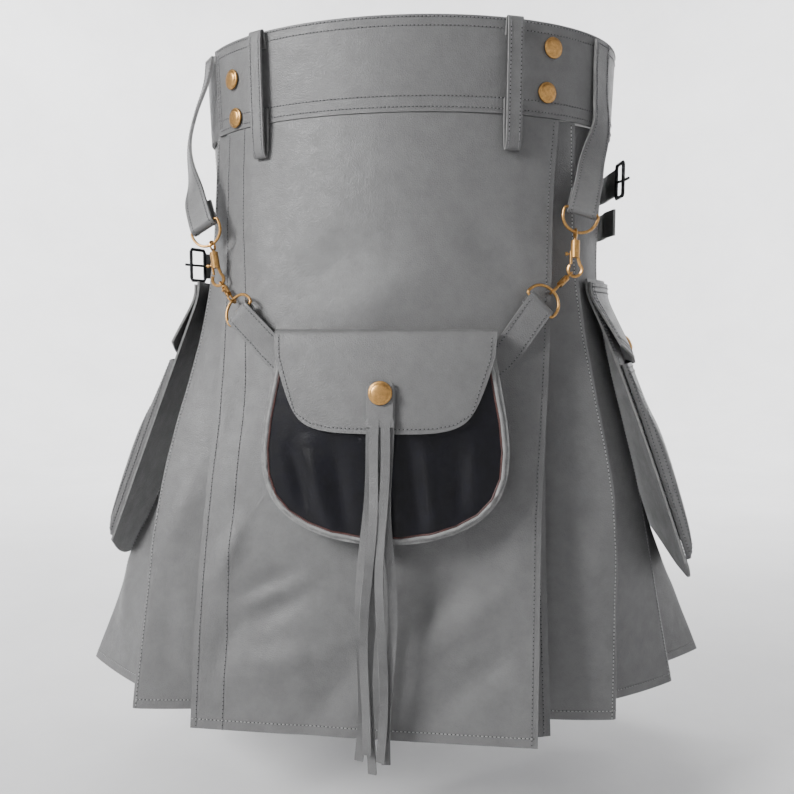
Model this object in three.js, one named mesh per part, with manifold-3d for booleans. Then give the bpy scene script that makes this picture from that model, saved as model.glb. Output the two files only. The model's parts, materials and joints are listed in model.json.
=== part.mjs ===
// A pleated leather utility kilt, in millimetres, +Z up, its front towards -Y.
// The origin is the centre of the waistband, where the wearer's waist holds it.
import * as THREE from 'three';
import { mergeVertices } from 'three/addons/utils/BufferGeometryUtils.js';
import Module from 'manifold-3d';

const wasm = await Module();
wasm.setup();

// Driving dimensions
const LENGTH = 610;
const BAND_HEIGHT = 79;
const WAIST = { halfWidth: 202, halfDepth: 140, lean: 3 };
const LEATHER = 2;
const BAND_THICK = 3;
const STRAP_WIDTH = 25;
const STRAP_THICK = 2.4;
const SEAM = 0.3;
const BUTT_GAP = 0.7;
const LAYER_GAP = 0.9;
const STUD = { radius: 9, height: 3.6 };
const LOOP = { width: 14, thick: 2, gap: 6.5, drop: 32 };
const RING = { width: 25, height: 20, wire: 1.5, play: 1.5, corner: 2.3 };

// Heights
const BAND_TOP = BAND_HEIGHT / 2;
const BAND_BOTTOM = -BAND_TOP;
const HEM = BAND_TOP - LENGTH;
const SKIRT_TOP = BAND_BOTTOM - SEAM;
const HIP = -190;
const THIGH = -380;
const STATIONS = [SKIRT_TOP, HIP, THIGH, HEM];

// Where the waistband starts and ends, in degrees round the waist from the front, + to the wearer's left
const BAND_END = -60.5;
const SIDE_SEAM = 88;
const UNDER_END = 44;

// The front apron: its edges, the body behind it, and how far its curve is flattened, at each height
const APRON_SECTIONS = [
  { z: SKIRT_TOP, halfWidth: 201, depth: 139, left: -164, right: 145, flat: 0 },
  { z: -110, halfWidth: 199, depth: 143, left: -165, right: 140, flat: 0.12 },
  { z: -190, halfWidth: 203, depth: 150, left: -161, right: 139, flat: 0.28 },
  { z: -280, halfWidth: 222, depth: 160, left: -160, right: 136, flat: 0.46 },
  { z: -370, halfWidth: 250, depth: 171, left: -165, right: 131, flat: 0.62 },
  { z: -470, halfWidth: 280, depth: 182, left: -169, right: 130, flat: 0.82 },
  { z: HEM, halfWidth: 300, depth: 193, left: -170, right: 129, flat: 0.97 },
];

// The under apron lies inside the front one; its own edges and the room between them
const UNDER_SECTIONS = [
  { z: SKIRT_TOP, left: -151, right: 131, inset: 2.4 },
  { z: HIP, left: -132, right: 135, inset: 4 },
  { z: THIGH, left: -135, right: 135, inset: 7 },
  { z: HEM, left: -140, right: 141, inset: 11 },
];
const UNDER_EDGE = { setBack: 9, from: 110, to: 141 };

// Knife pleats: the outer fold of each, as an angle at the waist and as plan x, y further down.
// A pleat's face starts inside the fold before it; the first of each side starts under the apron.
const RIGHT_START = { waist: 41, out: -8.5, hip: [118, -106], thigh: [112, -128], hem: [113, -141] };
const RIGHT_FOLDS = [
  { waist: 53, hip: [167, -93], thigh: [201, -124], hem: [202, -133] },
  { waist: 75, hip: [189.3, -38.8], thigh: [232, -42], hem: [270, -45] },
  { waist: 97, hip: [194.5, 18.3], thigh: [240, 30], hem: [315, 43] },
  { waist: 118, hip: [173, 70.4], thigh: [226, 98], hem: [290, 125] },
  { waist: 138, hip: [131, 111.5], thigh: [172, 146], hem: [222, 182] },
  { waist: 157, hip: [76.6, 138], thigh: [104, 174], hem: [135, 210] },
];
const LEFT_START = { waist: -51, out: -5, hip: [-140, -102], thigh: [-144, -132], hem: [-150, -151] };
const LEFT_FOLDS = [
  { waist: -64, hip: [-188, -74], thigh: [-227, -118], hem: [-238, -164] },
  { waist: -85, hip: [-197.2, -13], thigh: [-256, -34], hem: [-331, -54] },
  { waist: -104, hip: [-192, 36.3], thigh: [-252, 44], hem: [-326, 50] },
  { waist: -122, hip: [-168, 79.5], thigh: [-222, 106], hem: [-287, 132] },
  { waist: -140, hip: [-127, 115], thigh: [-170, 150], hem: [-220, 185] },
  { waist: -157, hip: [-77.4, 138], thigh: [-104, 174], hem: [-135, 210] },
];
const BACK_FOLD = { waist: 163.5, hip: [55.7, 143.8], thigh: [72, 180], hem: [88, 216] };
const SKIRT_OUT = -1;

// How far a face steps in behind the fold before it, and slips past it, at each station
const TOOTH_DEPTH = [7.4, 12, 21, 29];
const TOOTH_SLIP = [0, 3, 12, 18];
const CROWN_RADIUS = [126, 130, 240, 460];
const BACK_SLIP = [1, 2, 4, 5];

const GREY = { color: 0x85878a, roughness: 0.55, metalness: 0 };
const BLACK = { color: 0x15161c, roughness: 0.35, metalness: 0 };
const BRASS = { color: 0xb08a4a, roughness: 0.35, metalness: 1 };
const BLACK_METAL = { color: 0x1c1b1a, roughness: 0.4, metalness: 1 };

const kilt = new THREE.Group();
const point = (x, y, z) => new THREE.Vector3(x, y, z);
const rad = (degrees) => (degrees * Math.PI) / 180;
const lerp = (a, b, share) => a + (b - a) * share;
const steps = (from, to, count) => Array.from({ length: count }, (_, i) => lerp(from, to, i / (count - 1)));
const AXIS = point(0, 0, 0);

function addPiece(name, geometry, finish) {
  const mesh = new THREE.Mesh(geometry, new THREE.MeshStandardMaterial(finish));
  mesh.name = name;
  kilt.add(mesh);
  return mesh;
}

// A smooth value between named rows of a table, by their height
function smoothAt(heights, values, z) {
  const last = heights.length - 1;
  let i = 0;
  while (i < last - 1 && z < heights[i + 1]) i += 1;
  const slope = (k) => {
    const before = Math.max(k - 1, 0);
    const after = Math.min(k + 1, last);
    return (values[after] - values[before]) / (heights[after] - heights[before]);
  };
  const span = heights[i + 1] - heights[i];
  const s = THREE.MathUtils.clamp((z - heights[i]) / span, 0, 1);
  const [s2, s3] = [s * s, s * s * s];
  return (2 * s3 - 3 * s2 + 1) * values[i] + (s3 - 2 * s2 + s) * span * slope(i)
    + (3 * s2 - 2 * s3) * values[i + 1] + (s3 - s2) * span * slope(i + 1);
}

const sectionAt = (table, column, z) => smoothAt(table.map((row) => row.z), table.map((row) => row[column]), z);
const stationAt = (values, z) => smoothAt(STATIONS, values, z);

// A closed mesh from its corner points and faces, turned so that its faces point out
function closedMesh(corners, faces) {
  let volume = 0;
  for (const [a, b, c] of faces) {
    volume += corners[a].dot(new THREE.Vector3().crossVectors(corners[b], corners[c]));
  }
  const facing = volume < 0 ? faces.map(([a, b, c]) => [a, c, b]) : faces;
  const geometry = new THREE.BufferGeometry();
  const numbers = corners.flatMap((p) => [p.x, p.y, p.z]);
  geometry.setAttribute('position', new THREE.Float32BufferAttribute(numbers, 3));
  geometry.setIndex(facing.flat());
  geometry.computeVertexNormals();
  return geometry;
}

// The unit normals of a grid of points, pointing away from a place inside
function gridNormals(rows, inside) {
  const normals = rows.map((row, i) => row.map((_, j) => {
    const total = point(0, 0, 0);
    for (const di of [-1, 0]) {
      for (const dj of [-1, 0]) {
        const [a, b] = [i + di, j + dj];
        if (a < 0 || b < 0 || a + 1 >= rows.length || b + 1 >= row.length) continue;
        const down = new THREE.Vector3().subVectors(rows[a + 1][b], rows[a][b]);
        const over = new THREE.Vector3().subVectors(rows[a][b + 1], rows[a][b]);
        const far = new THREE.Vector3().subVectors(rows[a + 1][b + 1], rows[a][b + 1]);
        total.add(down.add(far).cross(over).normalize());
      }
    }
    return total.normalize();
  }));
  let facing = 0;
  rows.forEach((row, i) => row.forEach((p, j) => {
    facing += normals[i][j].dot(new THREE.Vector3().subVectors(p, inside));
  }));
  return facing < 0 ? normals.map((row) => row.map((n) => n.negate())) : normals;
}

// A grid of points moved out by a distance
function moveOut(rows, distance, inside = AXIS) {
  const normals = gridNormals(rows, inside);
  return rows.map((row, i) => row.map((p, j) => p.clone().addScaledVector(normals[i][j], distance)));
}

// A wall of leather: the grid is its outer face, and the thickness lies towards the inside
function wall(rows, thickness, inside = AXIS) {
  const inner = moveOut(rows, -thickness, inside);
  const [height, width] = [rows.length, rows[0].length];
  const corners = [...rows.flat(), ...inner.flat()];
  const outerAt = (i, j) => i * width + j;
  const innerAt = (i, j) => height * width + i * width + j;
  const faces = [];
  const quad = (a, b, c, d) => faces.push([a, b, c], [a, c, d]);
  for (let i = 0; i < height - 1; i += 1) {
    for (let j = 0; j < width - 1; j += 1) {
      quad(outerAt(i, j), outerAt(i + 1, j), outerAt(i + 1, j + 1), outerAt(i, j + 1));
      quad(innerAt(i, j), innerAt(i, j + 1), innerAt(i + 1, j + 1), innerAt(i + 1, j));
    }
  }
  for (let i = 0; i < height - 1; i += 1) {
    quad(outerAt(i, 0), innerAt(i, 0), innerAt(i + 1, 0), outerAt(i + 1, 0));
    quad(outerAt(i, width - 1), outerAt(i + 1, width - 1), innerAt(i + 1, width - 1), innerAt(i, width - 1));
  }
  for (let j = 0; j < width - 1; j += 1) {
    quad(outerAt(0, j), outerAt(0, j + 1), innerAt(0, j + 1), innerAt(0, j));
    quad(outerAt(height - 1, j), innerAt(height - 1, j), innerAt(height - 1, j + 1), outerAt(height - 1, j + 1));
  }
  return closedMesh(corners, faces);
}

// A closed mesh through equal rings of points, with flat ends or joined end to end
function throughRings(rings, endless = false) {
  const sides = rings[0].length;
  const faces = [];
  const last = endless ? rings.length : rings.length - 1;
  for (let i = 0; i < last; i += 1) {
    const next = (i + 1) % rings.length;
    for (let k = 0; k < sides; k += 1) {
      const turn = (k + 1) % sides;
      const [a, b, c, d] = [i * sides + k, next * sides + k, next * sides + turn, i * sides + turn];
      faces.push([a, b, c], [a, c, d]);
    }
  }
  if (!endless) {
    const end = (rings.length - 1) * sides;
    for (let k = 1; k < sides - 1; k += 1) faces.push([0, k, k + 1], [end, end + k + 1, end + k]);
  }
  return closedMesh(rings.flat(), faces);
}

// The direction of a path of points at each point
function directions(path, endless = false) {
  return path.map((_, i) => {
    const before = endless ? path[(i - 1 + path.length) % path.length] : path[Math.max(i - 1, 0)];
    const after = endless ? path[(i + 1) % path.length] : path[Math.min(i + 1, path.length - 1)];
    return new THREE.Vector3().subVectors(after, before).normalize();
  });
}

// A flat strap along a path, with the direction of its width at each point
function strap(path, across, width, thickness) {
  const along = directions(path);
  const rings = path.map((p, i) => {
    const wide = across[i].clone().addScaledVector(along[i], -across[i].dot(along[i])).normalize();
    const thick = new THREE.Vector3().crossVectors(along[i], wide);
    return [[-1, -1], [1, -1], [1, 1], [-1, 1]].map(([u, v]) => p.clone()
      .addScaledVector(wide, (u * width) / 2).addScaledVector(thick, (v * thickness) / 2));
  });
  return throughRings(rings);
}

// A round wire along a path that stays near one plane, given by its normal
function wire(path, radius, normal, endless = false, sides = 8) {
  const along = directions(path, endless);
  const rings = path.map((p, i) => {
    const side = new THREE.Vector3().crossVectors(along[i], normal).normalize();
    const lift = new THREE.Vector3().crossVectors(side, along[i]);
    return Array.from({ length: sides }, (_, k) => {
      const turn = rad((360 / sides) * (k + 0.5));
      return p.clone().addScaledVector(side, radius * Math.cos(turn)).addScaledVector(lift, radius * Math.sin(turn));
    });
  });
  return throughRings(rings, endless);
}

function smoothPath(points, count) {
  return new THREE.CatmullRomCurve3(points).getPoints(count - 1);
}

function toManifold(geometry) {
  const plain = geometry.clone();
  plain.deleteAttribute('normal');
  plain.deleteAttribute('uv');
  const merged = mergeVertices(plain, 1e-4);
  const mesh = new wasm.Mesh({
    numProp: 3,
    vertProperties: new Float32Array(merged.attributes.position.array),
    triVerts: new Uint32Array(merged.index.array),
  });
  return new wasm.Manifold(mesh);
}

function fromManifold(manifold) {
  const mesh = manifold.getMesh();
  const geometry = new THREE.BufferGeometry();
  geometry.setAttribute('position', new THREE.Float32BufferAttribute(mesh.vertProperties, 3));
  geometry.setIndex(Array.from(mesh.triVerts));
  return geometry;
}

function joined(...geometries) {
  return fromManifold(geometries.map(toManifold).reduce((all, next) => all.add(next)));
}

// Places a shape made along +Y so that its +Y points along a direction
function stand(geometry, at, direction) {
  const turn = new THREE.Quaternion().setFromUnitVectors(point(0, 1, 0), direction.clone().normalize());
  return geometry.clone().applyQuaternion(turn).translate(at.x, at.y, at.z);
}

// A point on the waist, out from the outer face of the band
function waistNormal(degrees) {
  const a = rad(degrees);
  return point(Math.sin(a) / WAIST.halfWidth, -Math.cos(a) / WAIST.halfDepth, 0).normalize();
}

function waistPoint(degrees, out, z) {
  const a = rad(degrees);
  const lean = WAIST.lean * Math.max(0, (z - BAND_BOTTOM) / BAND_HEIGHT);
  return point(WAIST.halfWidth * Math.sin(a), -WAIST.halfDepth * Math.cos(a), z)
    .addScaledVector(waistNormal(degrees), out + lean);
}

// Waistband: one strip round the waist, whose inner end runs on under its outer end
function bandRows(angles, outAt) {
  return [BAND_TOP, 0, BAND_BOTTOM].map((z) => angles.map((angle) => waistPoint(angle, outAt(angle), z)));
}

function makeWaistband() {
  const dive = (angle) => -(BAND_THICK + SEAM) * THREE.MathUtils.smoothstep(angle, 284, 294);
  const seamAngle = (BUTT_GAP / WAIST.halfDepth) * (180 / Math.PI);
  addPiece('waistband_front', wall(bandRows(steps(BAND_END, SIDE_SEAM, 29), () => 0), BAND_THICK), GREY);
  const back = [...steps(SIDE_SEAM + seamAngle, 280, 30), ...steps(284, 294, 4), ...steps(300, 360 + UNDER_END, 16)];
  addPiece('waistband_back', wall(bandRows(back, dive), BAND_THICK), GREY);
}

// Front apron and the under apron behind it
const APRON_ROWS = steps(SKIRT_TOP, HEM, 13);

function apronPoint(x, z, inset = 0) {
  const halfWidth = sectionAt(APRON_SECTIONS, 'halfWidth', z);
  const depth = sectionAt(APRON_SECTIONS, 'depth', z);
  const flat = sectionAt(APRON_SECTIONS, 'flat', z);
  const round = Math.sqrt(1 - (x / halfWidth) ** 2);
  const inward = inset / lerp(round, 1, 0.6);
  return point(x, -depth * lerp(round, 1, flat) + inward, z);
}

function makeAprons() {
  const front = APRON_ROWS.map((z) => steps(
    sectionAt(APRON_SECTIONS, 'left', z), sectionAt(APRON_SECTIONS, 'right', z), 17,
  ).map((x) => apronPoint(x, z)));
  addPiece('front_apron', wall(front, LEATHER), GREY);
  const under = APRON_ROWS.map((z) => steps(
    sectionAt(UNDER_SECTIONS, 'left', z), sectionAt(UNDER_SECTIONS, 'right', z), 11,
  ).map((x) => {
    const fall = (z - SKIRT_TOP) / (HEM - SKIRT_TOP);
    const setBack = UNDER_EDGE.setBack * fall * THREE.MathUtils.smoothstep(Math.abs(x), UNDER_EDGE.from, UNDER_EDGE.to);
    return apronPoint(x, z, LEATHER + sectionAt(UNDER_SECTIONS, 'inset', z) + setBack);
  }));
  addPiece('under_apron', wall(under, LEATHER), GREY);
}

// Pleats
function foldAt(fold, z) {
  const top = waistPoint(fold.waist, fold.out ?? SKIRT_OUT, SKIRT_TOP);
  const x = stationAt([top.x, fold.hip[0], fold.thigh[0], fold.hem[0]], z);
  const y = stationAt([top.y, fold.hip[1], fold.thigh[1], fold.hem[1]], z);
  return point(x, y, z);
}

// The line from one fold to the next, with the level direction square to it and into the kilt
function between(from, to) {
  const over = new THREE.Vector3().subVectors(to, from).setZ(0).normalize();
  const inward = point(-over.y, over.x, 0);
  if (inward.dot(from) > 0) inward.negate();
  return { over, inward };
}

function innerFold(from, to, z, slip = TOOTH_SLIP) {
  const { over, inward } = between(from, to);
  return from.clone().addScaledVector(inward, stationAt(TOOTH_DEPTH, z)).addScaledVector(over, stationAt(slip, z));
}

function faceAcross(start, end, z, count) {
  const { inward } = between(start, end);
  const chord = start.distanceTo(end);
  const crown = (chord * chord) / (8 * stationAt(CROWN_RADIUS, z));
  return steps(0, 1, count).map((share) => start.clone().lerp(end, share)
    .addScaledVector(inward, -4 * crown * share * (1 - share)));
}

const PLEAT_ROWS = steps(SKIRT_TOP, HEM, 12);
const FACE_POINTS = 5;
const backFoldAt = (side, z) => foldAt(side > 0 ? BACK_FOLD : {
  waist: -BACK_FOLD.waist,
  hip: [-BACK_FOLD.hip[0], BACK_FOLD.hip[1]],
  thigh: [-BACK_FOLD.thigh[0], BACK_FOLD.thigh[1]],
  hem: [-BACK_FOLD.hem[0], BACK_FOLD.hem[1]],
}, z);

// The end of a return: just short of where the next face starts
function returnEnd(fold, nextFold, z, slip) {
  const target = innerFold(fold, nextFold, z, slip);
  const back = new THREE.Vector3().subVectors(fold, target);
  return target.addScaledVector(back.normalize(), SEAM);
}

function makePleats(sideName, side, start, folds) {
  folds.forEach((fold, k) => {
    const rows = PLEAT_ROWS.map((z) => {
      const outer = foldAt(fold, z);
      const first = k === 0 ? foldAt(start, z) : innerFold(foldAt(folds[k - 1], z), outer, z);
      const lastOne = k === folds.length - 1;
      const next = lastOne ? backFoldAt(side, z) : foldAt(folds[k + 1], z);
      const end = returnEnd(outer, next, z, lastOne ? BACK_SLIP : TOOTH_SLIP);
      return [...faceAcross(first, outer, z, FACE_POINTS), outer.clone().lerp(end, 0.5), end];
    });
    addPiece(`pleat_${sideName}_${k + 1}`, wall(rows, LEATHER), GREY);
  });
}

// The box pleat at the centre of the back, with a recess on each side of its face
function makeBackPanel() {
  const lastFold = { right: RIGHT_FOLDS.at(-1), left: LEFT_FOLDS.at(-1) };
  const rows = PLEAT_ROWS.map((z) => {
    const right = backFoldAt(1, z);
    const left = backFoldAt(-1, z);
    const side = (own, neighbour) => {
      const floor = innerFold(neighbour, own, z, BACK_SLIP);
      const { over, inward } = between(own, neighbour);
      const turn = own.clone().addScaledVector(inward, stationAt(TOOTH_DEPTH, z))
        .addScaledVector(over, stationAt(BACK_SLIP, z) - 3);
      return [floor, turn, own.clone().lerp(turn, 0.5)];
    };
    const rightSide = side(right, foldAt(lastFold.right, z));
    const leftSide = side(left, foldAt(lastFold.left, z));
    return [...rightSide, ...faceAcross(right, left, z, 7), ...leftSide.reverse()];
  });
  addPiece('back_panel', wall(rows, LEATHER), GREY);
}

// Belt loops: a strip from the top of the band, standing off it, curled back up below the band
function makeBeltLoop(name, angle) {
  const outer = SEAM + LOOP.thick / 2;
  const off = LOOP.gap + LOOP.thick / 2;
  const profile = [
    { out: outer, z: BAND_TOP - 15 }, { out: outer + 0.4, z: BAND_TOP - 7 }, { out: 3.2, z: BAND_TOP + 0.5 },
    { out: off - 1, z: BAND_TOP - 1 }, { out: off, z: BAND_TOP - 12 }, { out: off + 0.5, z: 0 },
    { out: off + 0.5, z: BAND_BOTTOM }, { out: off, z: BAND_BOTTOM - LOOP.drop * 0.6 },
    { out: off - 1, z: BAND_BOTTOM - LOOP.drop + 4 }, { out: off - 3.6, z: BAND_BOTTOM - LOOP.drop },
    { out: outer + 0.9, z: BAND_BOTTOM - LOOP.drop + 5 }, { out: outer + 0.2, z: BAND_BOTTOM - 12 },
    { out: outer + 0.4, z: BAND_BOTTOM + 5 }, { out: outer, z: BAND_BOTTOM + 12 },
  ];
  const lean = (z) => (z > BAND_BOTTOM ? 0 : 0.2);
  const path = profile.map(({ out, z }) => waistPoint(angle, out + lean(z), z));
  const across = path.map(() => point(waistNormal(angle).y, -waistNormal(angle).x, 0));
  addPiece(name, strap(path, across, LOOP.width, LOOP.thick), GREY);
}

// Snap studs: low brass domes on a short rim
function studShape(radius, height) {
  const profile = [
    [0, 0], [radius, 0], [radius, height * 0.35], [radius * 0.9, height * 0.62],
    [radius * 0.62, height * 0.9], [0, height],
  ].map(([r, y]) => new THREE.Vector2(r, y));
  return mergeVertices(new THREE.LatheGeometry(profile, 12).deleteAttribute('uv').deleteAttribute('normal'), 1e-4);
}

function makeWaistStuds() {
  const places = [
    { name: 'stud_left_top', angle: -49, z: 6 }, { name: 'stud_left_bottom', angle: -48, z: -29 },
    { name: 'stud_right_top', angle: 42.5, z: 19 }, { name: 'stud_right_bottom', angle: 41, z: -19 },
  ];
  for (const { name, angle, z } of places) {
    const cap = studShape(STUD.radius, STUD.height);
    addPiece(name, stand(cap, waistPoint(angle, 2 * SEAM, z), waistNormal(angle)), BRASS);
  }
}

// D-ring: a straight bar across, and a round bow that hangs the given way
function dRingPath(bar, across, down) {
  const half = RING.width / 2 + RING.wire + RING.play;
  const bow = steps(0, 180, 9).map((turn) => bar.clone()
    .addScaledVector(across, half * Math.cos(rad(turn)))
    .addScaledVector(down, 6 + (RING.height - 6) * Math.sin(rad(turn))));
  const corner = (s) => [90, 45, 0].map((turn) => bar.clone()
    .addScaledVector(across, s * (half - RING.corner * (1 - Math.cos(rad(turn)))))
    .addScaledVector(down, RING.corner * (1 - Math.sin(rad(turn)))));
  return [...corner(1), ...bow, ...corner(-1).reverse(), bar.clone()];
}

function makeDRing(name, bar, across, down) {
  const normal = new THREE.Vector3().crossVectors(across, down).normalize();
  addPiece(name, wire(dRingPath(bar, across, down), RING.wire, normal, true), BRASS);
}

// Bolt snap: eye, swivel post, barrel with a slot, and a jaw that the sliding bolt closes.
// Sizes along it are from the middle of the eye's top wire, and are scaled for the smaller one.
const SNAP = {
  eyeRadius: 4.5, eyeWire: 1.2, post: 1.7, barrel: 4.2, barrelTop: 11, barrelEnd: 27,
  jawCentre: 38.5, jawRadius: 6.5, jawWire: 1.6, boltSide: 3.9, bolt: 1.3, boltTop: 21, boltEnd: 33.4, travel: 5,
  play: 0.45, slotWidth: 3, slotDepth: 4, neck: { radius: 0.9, length: 3.6 }, knob: { radius: 1.9, length: 2.2 },
};

function makeSnap(name, at, along, eyeSide, jawSide, scale) {
  const place = (a, s, sideways) => at.clone().addScaledVector(along, a * scale).addScaledVector(sideways, s * scale);
  const eyeNormal = new THREE.Vector3().crossVectors(along, eyeSide);
  const jawNormal = new THREE.Vector3().crossVectors(along, jawSide);
  const circle = (centre, radius, from, to, count, sideways) => steps(from, to, count).map((turn) => place(
    centre - radius * Math.cos(rad(turn)), radius * Math.sin(rad(turn)), sideways,
  ));
  const eye = wire(
    circle(SNAP.eyeRadius, SNAP.eyeRadius, 0, 330, 12, eyeSide), SNAP.eyeWire * scale, eyeNormal, true, 6,
  );
  const rod = (from, to, radius, s, sides = 10) => {
    const length = (to - from) * scale;
    const shape = new THREE.CylinderGeometry(radius * scale, radius * scale, length, sides);
    return stand(shape, place((from + to) / 2, s, jawSide), along);
  };
  const post = rod(SNAP.eyeRadius * 2, SNAP.barrelTop + 1, SNAP.post, 0);
  const barrel = rod(SNAP.barrelTop, SNAP.barrelEnd, SNAP.barrel, 0);
  const bend = circle(SNAP.jawCentre, SNAP.jawRadius, 318, 52, 13, jawSide);
  const jaw = wire([place(SNAP.barrelEnd - 3, -2, jawSide), place(SNAP.barrelEnd + 2, -3, jawSide), ...bend],
    SNAP.jawWire * scale, jawNormal, false, 6);
  const channel = rod(SNAP.boltTop - SNAP.travel - 2, SNAP.barrelEnd + 1, SNAP.bolt + SNAP.play, SNAP.boltSide);
  const [slotTop, slotEnd] = [SNAP.boltTop - SNAP.travel - 1, SNAP.barrelEnd - 1];
  const slot = new THREE.BoxGeometry(SNAP.slotWidth * scale, (slotEnd - slotTop) * scale, SNAP.slotDepth * scale);
  const turn = new THREE.Matrix4().makeBasis(jawNormal, along, jawSide);
  slot.applyMatrix4(turn.setPosition(place((slotTop + slotEnd) / 2, SNAP.boltSide + 1, jawSide)));
  const body = [eye, post, barrel, jaw].map(toManifold).reduce((all, next) => all.add(next));
  const cut = toManifold(channel).add(toManifold(slot));
  addPiece(`${name}_hook`, fromManifold(body.subtract(cut)), BRASS);

  const pin = rod(SNAP.boltTop, SNAP.boltEnd, SNAP.bolt, SNAP.boltSide, 10);
  const knobAt = (s) => place(SNAP.boltTop + 2.5, s, jawSide);
  const turned = ({ radius, length }, s) => stand(
    new THREE.CylinderGeometry(radius * scale, radius * scale, length * scale, 10), knobAt(s), jawSide,
  );
  const neck = turned(SNAP.neck, SNAP.boltSide + SNAP.neck.length / 2);
  const knob = turned(SNAP.knob, SNAP.boltSide + 4.4);
  addPiece(`${name}_bolt`, joined(pin, neck, knob), BRASS);
}

// The hang strap and its chain of ring, snap, smaller snap and ring, on each side
const CONTACT = 0.35;
const SIDES = {
  right: {
    face: point(0.1, -1, 0),
    mouth: -1,
    strapPath: [
      { p: waistPoint(64, 1.6, 36), turn: 1 }, { p: waistPoint(64, 1.7, 14), turn: 1 },
      { p: waistPoint(64.2, 2.6, -12), turn: 1 }, { p: waistPoint(64.3, 5, -40), turn: 0.85 },
      { p: point(177, -78, -70), turn: 0.5 },
    ],
    startAngle: 64,
    bar: point(165, -111, -121),
    hang: point(0, -0.06, -1),
    lower: point(-0.62, -0.48, -0.62),
  },
  left: {
    face: point(-0.22, -1, 0),
    mouth: -1,
    strapPath: [
      { p: waistPoint(-65, 1.25, 36), turn: 1 }, { p: waistPoint(-65.5, 5, 14), turn: 1.1 },
      { p: point(-201, -62, -14), turn: 1.25 }, { p: point(-205, -72, -48), turn: 1.3 },
      { p: point(-198, -85, -80), turn: 1.1 },
    ],
    startAngle: -65,
    bar: point(-178, -111, -129),
    hang: point(0.17, -0.06, -0.985),
    lower: point(0.56, -0.53, -0.64),
  },
};
const UPPER_SCALE = 0.92;
const LOWER_SCALE = 0.66;
const FOLD_RADIUS = RING.wire + STRAP_THICK / 2 + LAYER_GAP + 0.3;
const TUCK = 24;
const SHORT_TUCK = 7;

// Strap round a bar: over the front, under the bar and up behind
function aroundBar(bar, down, face, tuck) {
  const at = (d, f) => bar.clone().addScaledVector(down, d).addScaledVector(face, f);
  const half = steps(90, -90, 7).map((turn) => at(
    FOLD_RADIUS * Math.cos(rad(turn)), FOLD_RADIUS * Math.sin(rad(turn)),
  ));
  return [...half, at(-tuck * 0.5, -FOLD_RADIUS + 0.9), at(-tuck, -FOLD_RADIUS + 1.4)];
}

function makeChain(name) {
  const side = SIDES[name];
  const face = side.face.clone().normalize();
  const hang = side.hang.clone().normalize();
  const across = new THREE.Vector3().crossVectors(face, hang).normalize();
  if (across.x < 0) across.negate();
  const turned = waistNormal(side.startAngle);
  const tangent = point(-turned.y, turned.x, 0);
  if (tangent.x < 0) tangent.negate();
  const lead = side.strapPath.map(({ p }) => p);
  const strapDown = new THREE.Vector3().subVectors(side.bar, lead.at(-1)).normalize();
  const strapFace = face.clone().addScaledVector(strapDown, -face.dot(strapDown)).normalize();
  const barAcross = new THREE.Vector3().crossVectors(strapFace, strapDown).normalize();
  if (barAcross.x < 0) barAcross.negate();
  const fold = aroundBar(side.bar, strapDown, strapFace, TUCK);
  const approach = fold[0].clone().addScaledVector(strapDown, -TUCK - 4).addScaledVector(strapFace, 2 * SEAM);
  const path = [...smoothPath([...lead, approach, fold[0]], 15).slice(0, -1), ...fold];
  const turns = side.strapPath.map(({ turn }) => point(turn, 0, 0));
  const blend = smoothPath([...turns, point(0.15, 0, 0), point(0, 0, 0)], 15);
  const widths = path.map((_, i) => barAcross.clone().lerp(tangent, i < 14 ? blend[i].x : 0).normalize());
  addPiece(`hang_strap_${name}`, strap(path, widths, STRAP_WIDTH, STRAP_THICK), GREY);

  const ringDown = hang.clone().addScaledVector(barAcross, -hang.dot(barAcross)).normalize();
  makeDRing(`strap_ring_${name}`, side.bar, barAcross, ringDown);
  const ringFoot = side.bar.clone().addScaledVector(ringDown, RING.height);
  const reachUp = RING.wire + SNAP.eyeWire * UPPER_SCALE + CONTACT;
  const eyeTop = ringFoot.clone().addScaledVector(hang, -reachUp);
  const mouth = across.clone().multiplyScalar(side.mouth);
  makeSnap(`upper_${name}`, eyeTop, hang, face, mouth, UPPER_SCALE);

  const lower = side.lower.clone().normalize();
  const jawCentre = eyeTop.clone().addScaledVector(hang, SNAP.jawCentre * UPPER_SCALE);
  const inPlane = lower.clone().addScaledVector(face, -lower.dot(face)).normalize();
  const touch = jawCentre.clone().addScaledVector(inPlane, SNAP.jawRadius * UPPER_SCALE);
  const lowerReach = SNAP.jawWire * UPPER_SCALE + SNAP.eyeWire * LOWER_SCALE + CONTACT;
  const lowerTop = touch.clone().addScaledVector(lower, -lowerReach);
  const flatFace = face.clone().addScaledVector(lower, -face.dot(lower)).normalize();
  makeSnap(`lower_${name}`, lowerTop, lower, flatFace, flatFace, LOWER_SCALE);

  const jawFoot = lowerTop.clone().addScaledVector(lower, (SNAP.jawCentre + SNAP.jawRadius) * LOWER_SCALE);
  const apex = jawFoot.clone().addScaledVector(lower, -(SNAP.jawWire * LOWER_SCALE + RING.wire + CONTACT));
  const bar = apex.clone().addScaledVector(lower, RING.height);
  const lowerAcross = new THREE.Vector3().crossVectors(flatFace, lower).normalize();
  makeDRing(`sporran_ring_${name}`, bar, lowerAcross, lower.clone().negate());
  return { bar, along: lower, across: lowerAcross, face: flatFace };
}

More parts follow.
